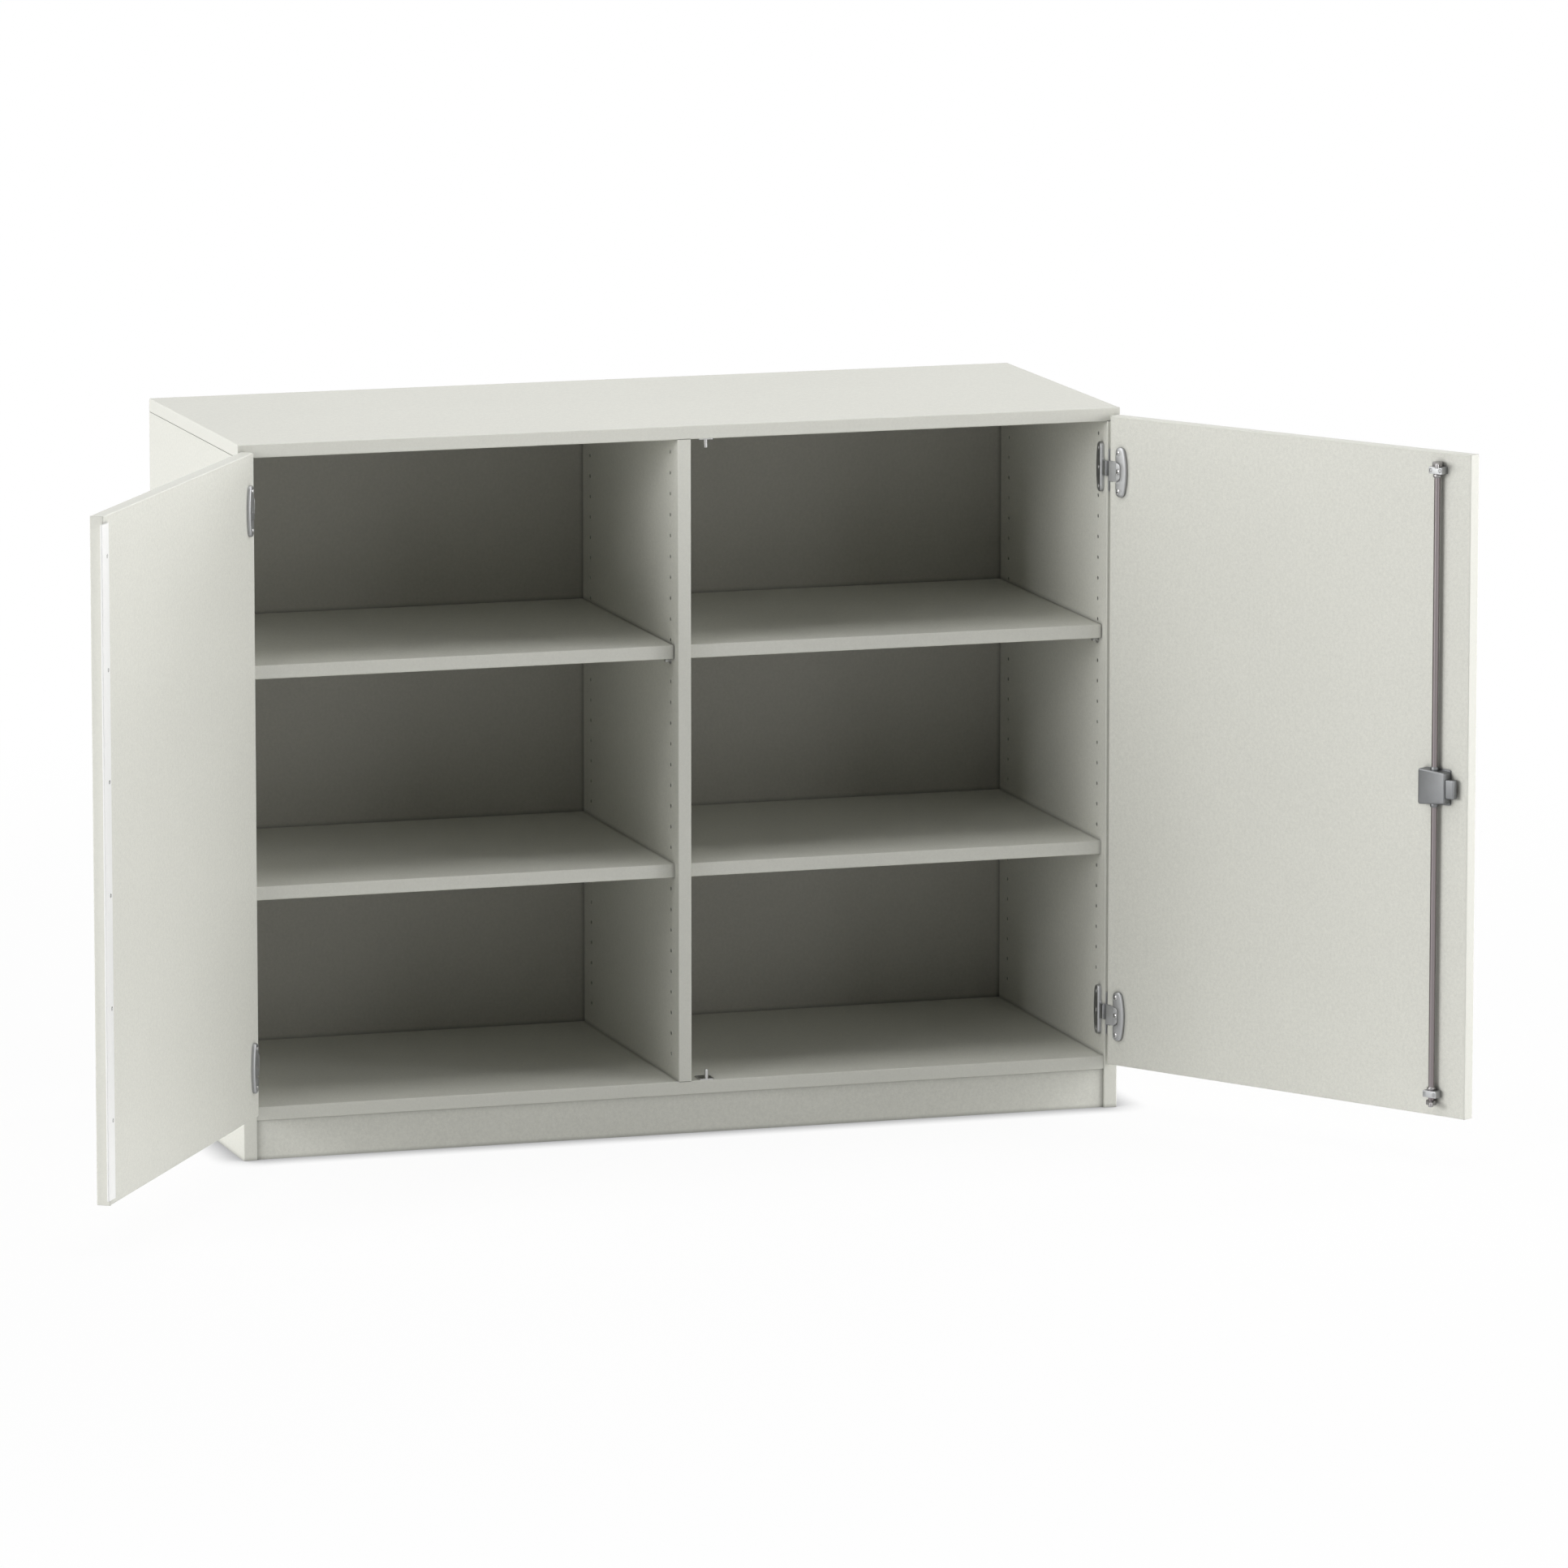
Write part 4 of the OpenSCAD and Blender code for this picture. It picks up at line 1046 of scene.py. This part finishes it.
@dataclass
class Screws:
    """The wood screws of the hinges and the stop strip, with domed cross-slot heads.

    A size is the shank's radius, the head's radius and depth, and the length.
    """

    finishes: Finishes
    hinge_size: tuple = (1.75, 3.4, 1.9, 14.0)
    small_size: tuple = (1.4, 2.7, 1.4, 11.0)
    sunk: float = 0.25
    strip_in: float = 5.5
    strip_domed: float = 0.12
    strip_heights: tuple = (169.0, 311.0, 454.0, 597.0, 738.0, 881.0)

    def side_screws(self) -> None:
        """Makes the twelve screws in the side panels' leaves."""
        shells = Shells()
        for hand in Hand:
            for level in Level:
                hinge = Hinge(self.finishes, hand, level)
                plate = LAYOUT.on_side(hand, level.value + hinge.rise)
                for v in (-hinge.screw_v, 0.0, hinge.screw_v):
                    spot = moved(hinge.screw_u, v, hinge.side_t - self.sunk)
                    shells.screw(*self.hinge_size, plate @ spot)
        made = shells.piece("side_leaf_screw_set", self.finishes.bright)
        seat(made, "cabinet_leaf_screws", "carcass")

    def door_screws(self, hand: Hand) -> None:
        """Makes the six screws in one door's leaves.

        Args:
            hand: The door's hand.
        """
        shells = Shells()
        for level in Level:
            hinge = Hinge(self.finishes, hand, level)
            plate = LAYOUT.on_door(hand, level.value)
            places = [
                (hinge.screw_u, -hinge.screw_v, hinge.door_t),
                (hinge.screw_u, hinge.screw_v, hinge.door_t),
                (hinge.arm_screw_u, 0.0, hinge.boss_t),
            ]
            for u, v, w in places:
                shells.screw(*self.hinge_size, plate @ moved(u, v, w - self.sunk))
        made = shells.piece(f"{hand.value}_leaf_screw_set", self.finishes.bright)
        seat(made, f"{hand.value}_door_leaf_screws", f"{hand.value}_door")

    def strip_screws(self) -> None:
        """Makes the six screws of the stop strip."""
        shells = Shells()
        spot = moved(LAYOUT.door_w - self.strip_in, 0, LAYOUT.strip_t)
        for height in self.strip_heights:
            where = LAYOUT.on_door(Hand.LEFT, height) @ spot
            shells.screw(*self.small_size, where, self.strip_domed)
        made = shells.piece("strip_screw_set", self.finishes.bright)
        seat(made, "stop_strip_screws", "left_door")

    def build(self) -> None:
        """Makes every set of screws."""
        self.side_screws()
        for hand in Hand:
            self.door_screws(hand)
        self.strip_screws()


@dataclass
class Lock:
    """The espagnolette lock on the right door: case, bolt, rods, guides and hooks.

    Fields that end in low, lows, high or z are heights above the floor. At the door's free edge the
    case's top is case_drop lower, and its underside case_rise higher, than at its other end.
    """

    finishes: Finishes
    case_w: float = 42.3
    case_low: float = 471.8
    case_high: float = 518.8
    case_d: float = 15.6
    case_r: float = 3.0
    case_drop: float = 2.7
    case_rise: float = 3.2
    case_floor: float = 1.5
    case_rim: float = 1.8
    bolt_out: float = 12.0
    bolt_len: float = 26.6
    bolt_z: tuple = (482.2, 507.2)
    bolt_d: tuple = (3.4, 13.0)
    bolt_r: float = 1.6
    bolt_rim: float = 1.2
    bush_r: float = 5.4
    bush_h: float = 3.0
    guide_w: float = 21.0
    guide_d: float = 13.0
    guide_h: float = 9.0
    guide_lows: tuple = (904.0, 86.5)
    guide_r: float = 0.9
    guide_foot: float = 0.3
    guide_rim: float = 0.28
    collar_r: float = 5.7
    collar_h: float = 4.6
    collar_gap: float = 0.4
    hook_lows: tuple = (913.5, 77.0)
    hook_h: float = 6.0
    hook_rim: float = 1.6
    hub_r: float = 6.8
    finger: float = 20.0
    finger_half: float = 3.0
    finger_turn: float = 124.0
    rod_r: float = 4.0

    def case(self) -> bpy.types.Object:
        """Makes the lock case: a box with rounded corners and a bush where each rod enters.

        Returns:
            The new piece.
        """
        shells = Shells()
        base = LAYOUT.door(Hand.RIGHT)
        r = self.case_r
        end = self.case_w / 2.0 - r
        face = frame_matrix((-1, 0, 0), (0, 0, 1), (0, 1, 0), (LAYOUT.rod_x, LAYOUT.door_in, 0))
        body = [
            Arc(end, self.case_low + self.case_rise + r, r, -85, 0),
            Arc(end, self.case_high - self.case_drop - r, r, 0, 86),
            Arc(-end, self.case_high - r, r, 86, 180),
            Arc(-end, self.case_low + r, r, 180, 275),
        ]
        shells.slab(body, self.case_floor, self.case_d, self.case_rim, base @ face)
        rod = base @ moved(LAYOUT.rod_x, LAYOUT.rod_y, 0)
        for mouth in (self.case_high, self.case_low):
            low, high = mouth - self.bush_h, mouth + self.bush_h
            shells.collar(self.rod_r + 0.1, self.bush_r, low, high, rod)
        return shells.piece("espagnolette_case", self.finishes.plate)

    def collars(self) -> bpy.types.Object:
        """Makes the two round-backed collars, one under the upper guide and one over the lower.

        Returns:
            The new piece.
        """
        shells = Shells()
        rod = LAYOUT.door(Hand.RIGHT) @ moved(LAYOUT.rod_x, LAYOUT.rod_y, 0)
        under = self.guide_lows[0] - self.collar_gap - self.collar_h
        over = self.guide_lows[1] + self.guide_h + self.collar_gap
        for low in (under, over):
            shells.collar(self.rod_r + 0.05, self.collar_r, low, low + self.collar_h, rod)
        return shells.piece("rod_collar_pair", self.finishes.turned)

    def bolt(self) -> bpy.types.Object:
        """Makes the bolt: a bar with rounded edges at its outer end.

        Returns:
            The new piece.
        """
        shells = Shells()
        outer = LAYOUT.rod_x - self.case_w / 2.0 - self.bolt_out
        foot = (outer + self.bolt_len, LAYOUT.door_in, 0)
        face = frame_matrix((0, 0, 1), (0, 1, 0), (-1, 0, 0), foot)
        section = block(*self.bolt_z, *self.bolt_d, self.bolt_r)
        shells.slab(section, 0.0, self.bolt_len, self.bolt_rim, LAYOUT.door(Hand.RIGHT) @ face)
        return shells.piece("spring_bolt", self.finishes.plate)

    def guide(self, name: str, low: float) -> bpy.types.Object:
        """Makes one rod guide: a block with a rounded front.

        Args:
            name: The piece's name.
            low: Height of its underside.

        Returns:
            The new piece.
        """
        shells = Shells()
        half = self.guide_w / 2.0
        y0 = LAYOUT.door_in
        r, foot = self.guide_r, self.guide_foot
        profile = [
            Arc(LAYOUT.rod_x + half - foot, y0 + foot, foot, -90, 0, steps=3),
            Arc(LAYOUT.rod_x + half - r, y0 + self.guide_d - r, r, 0, 90, steps=6),
            Arc(LAYOUT.rod_x - half + r, y0 + self.guide_d - r, r, 90, 180, steps=6),
            Arc(LAYOUT.rod_x - half + foot, y0 + foot, foot, 180, 270, steps=3),
        ]
        where = LAYOUT.door(Hand.RIGHT)
        shells.slab(profile, low, low + self.guide_h, self.guide_rim, where)
        return shells.piece(name, self.finishes.casting)

    def hook(self, name: str, low: float) -> bpy.types.Object:
        """Makes one hook: a round hub with a finger.

        Args:
            name: The piece's name.
            low: Height of its underside.

        Returns:
            The new piece.
        """
        shells = Shells()
        base = LAYOUT.door(Hand.RIGHT) @ moved(LAYOUT.rod_x, LAYOUT.rod_y, low)
        reach = self.finger - self.finger_half
        neck, fillet, gap = 8.5, 2.5, 6
        lean = math.degrees(math.atan2(self.finger_half + fillet, neck))
        shape = [
            Arc(neck, -self.finger_half - fillet, fillet, 180 - lean, 90, hollow=True, steps=8),
            Arc(reach, 0.0, self.finger_half, -90, 90, steps=14),
            Arc(neck, self.finger_half + fillet, fillet, -90, -180 + lean, hollow=True, steps=8),
            Arc(0.0, 0.0, self.hub_r, lean + gap, 360 - gap - lean, steps=36),
        ]
        shells.slab(shape, 0.0, self.hook_h, self.hook_rim, base @ turned(self.finger_turn))
        return shells.piece(name, self.finishes.turned)

    def build(self) -> None:
        """Makes the lock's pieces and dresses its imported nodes."""
        plates = ["lock_base_plate", "cylinder_housing", "cylinder_rosette", "rod_hub"]
        dress(plates, self.finishes.plate)
        dress(["rod_guide_screws"], self.finishes.casting)
        dress(["upper_lock_rod", "lower_lock_rod"], self.finishes.rod)
        dress(["lock_screws"], self.finishes.bright)
        dress(["lock_core"], self.finishes.core)
        seat(self.case(), "lock_case", "right_door")
        seat(self.bolt(), "lock_bolt", "bolt")
        seat(self.collars(), "rod_collars", "lock_rods")
        for name, guide_low, hook_low in zip(("upper", "lower"), self.guide_lows, self.hook_lows):
            block_made = self.guide(f"{name}_guide_block", guide_low)
            seat(block_made, f"{name}_rod_guide", "right_door")
            hook_made = self.hook(f"{name}_turning_hook", hook_low)
            seat(hook_made, f"{name}_hook", "lock_rods")


# Studio


@dataclass
class Lamp:
    """One square area lamp aimed at a point, in metres and watts."""

    name: str
    place: tuple
    size: float
    power: float
    aim: tuple = (0.0, 0.2, 0.45)

    def build(self) -> None:
        """Makes the lamp."""
        data = bpy.data.lights.new(self.name, "AREA")
        data.shape = "SQUARE"
        data.size = self.size
        data.energy = self.power
        lamp = bpy.data.objects.new(self.name, data)
        lamp.location = self.place
        direction = Vector(self.aim) - Vector(self.place)
        lamp.rotation_euler = direction.to_track_quat("-Z", "Y").to_euler()
        bpy.context.scene.collection.objects.link(lamp)


@dataclass
class Studio:
    """Camera, pale floor, white surroundings and soft lamps.

    Places are in metres and angles in degrees. The lens and the reach of the painted contact
    shadow on the floor are in mm.
    """

    camera_place: tuple = (-4.1479, -13.7204, 2.9263)
    azimuth: float = 17.354
    down: float = 9.744
    lens: float = 254.8
    floor_half: float = 40.0
    near_floor: float = 1.3
    far_floor: float = 3.5
    white_share: float = 0.93
    # painted contact shadow on the floor: its reach in mm, and the tone that the seen white falls
    # to at the base
    painted_shadow_reach: float = 45.0
    painted_shadow_tone: tuple = (0.12, 0.12, 0.13)
    floor_tone: tuple = (0.86, 0.86, 0.86)
    lamps: list[Lamp] = field(default_factory=lambda: [
        Lamp("top_lamp", (0.0, 0.0, 6.0), 5.0, 195.0),
        Lamp("left_high_lamp", (-4.0, -1.5, 5.0), 4.0, 60.0),
        Lamp("left_lamp", (-12.0, -1.0, 2.75), 6.0, 515.0),
        Lamp("left_front_lamp", (-12.0, -5.0, 3.15), 4.0, 560.0),
        Lamp("right_front_lamp", (6.0, -2.4, 1.8), 3.5, 290.0),
        Lamp("front_lamp", (4.5, -5.5, 1.6), 3.0, 50.0),
        Lamp("back_right_lamp", (6.5, 3.0, 2.2), 3.0, 215.0),
        Lamp("back_left_lamp", (-5.5, 5.0, 2.2), 3.0, 60.0),
    ])

    def camera(self) -> None:
        """Makes the camera at the photograph's viewing angle."""
        data = bpy.data.cameras.new("view")
        data.lens = self.lens
        data.sensor_width = 36.0
        data.clip_end = 100.0
        made = bpy.data.objects.new("view", data)
        made.location = self.camera_place
        made.rotation_euler = (math.radians(90.0 - self.down), 0.0, math.radians(-self.azimuth))
        bpy.context.scene.collection.objects.link(made)
        bpy.context.scene.camera = made

    def surroundings(self) -> None:
        """Makes the world: white where a camera or reflection sees it, with no light of its own."""
        g = Graph(bpy.data.worlds.new("studio"), "ShaderNodeOutputWorld")
        white = (1.0, 1.0, 1.0, 1.0)
        shader = g.node("ShaderNodeBackground", {}, {"Color": white, "Strength": self.seen(g)})
        bpy.context.scene.world = g.end(shader)

    @staticmethod
    def seen(g: Graph) -> Value:
        """1 where a camera ray, a reflection or a ray through glass arrives, and 0 for plain light.

        Args:
            g: The graph that asks.

        Returns:
            The share of white that shows.
        """
        kinds = ("Camera", "Glossy", "Transmission")
        rays = [g.node("ShaderNodeLightPath", out=f"Is {kind} Ray") for kind in kinds]
        return (rays[0] + rays[1] + rays[2]).clamped()

    def floor(self) -> None:
        """Makes the floor: pale, keeping the cupboard's shadow, and turning white with distance.

        Near the cupboard the seen floor is part white and part lit. Its white part has a painted
        contact shadow, darker within that shadow's reach in mm of the cupboard's base. From
        near_floor to far_floor metres away it turns wholly white.
        """
        g = paint("floor_pale")
        plain = g.node("ShaderNodeBsdfDiffuse", {}, {"Color": (*self.floor_tone, 1.0)})
        # painted contact shadow: ambient occlusion darkens the floor's white emission colour near
        # the cupboard's base
        white_with_painted_shadow = g.blend(g.meeting(self.painted_shadow_reach), self.painted_shadow_tone, (1.0, 1.0, 1.0))
        white = g.node("ShaderNodeEmission", {}, {"Color": white_with_painted_shadow, "Strength": 1.0})
        reach = g.node("ShaderNodeVectorMath", {"operation": "LENGTH"}, {0: g.place()}, "Value")
        smooth = {"interpolation_type": "SMOOTHSTEP"}
        ends = {"Value": reach, "From Min": self.near_floor, "From Max": self.far_floor}
        fade = g.node("ShaderNodeMapRange", smooth, ends)
        share = self.seen(g) * (self.white_share + fade * (1.0 - self.white_share))
        g.end(g.node("ShaderNodeMixShader", {}, {0: share, 1: plain, 2: white}))
        half = self.floor_half
        mesh = bpy.data.meshes.new("floor")
        corners = [(-half, -half, 0.0), (half, -half, 0.0), (half, half, 0.0), (-half, half, 0.0)]
        mesh.from_pydata(corners, [], [(0, 1, 2, 3)])
        mesh.materials.append(g.owner)
        floor = bpy.data.objects.new("floor", mesh)
        bpy.context.scene.collection.objects.link(floor)

    def build(self) -> None:
        """Makes the whole studio."""
        self.camera()
        self.surroundings()
        self.floor()
        for lamp in self.lamps:
            lamp.build()
        bpy.context.scene.view_settings.view_transform = "Standard"


def main() -> None:
    """Builds the cupboard's looks and the studio."""
    logging.basicConfig(level=logging.INFO, format="%(name)s: %(message)s")
    finishes = Finishes()
    Carcass(finishes).build()
    Doors(finishes).build()
    for hand in Hand:
        for level in Level:
            Hinge(finishes, hand, level).build()
    Screws(finishes).build()
    Lock(finishes).build()
    Studio().build()


if __name__ == "__main__":
    main()
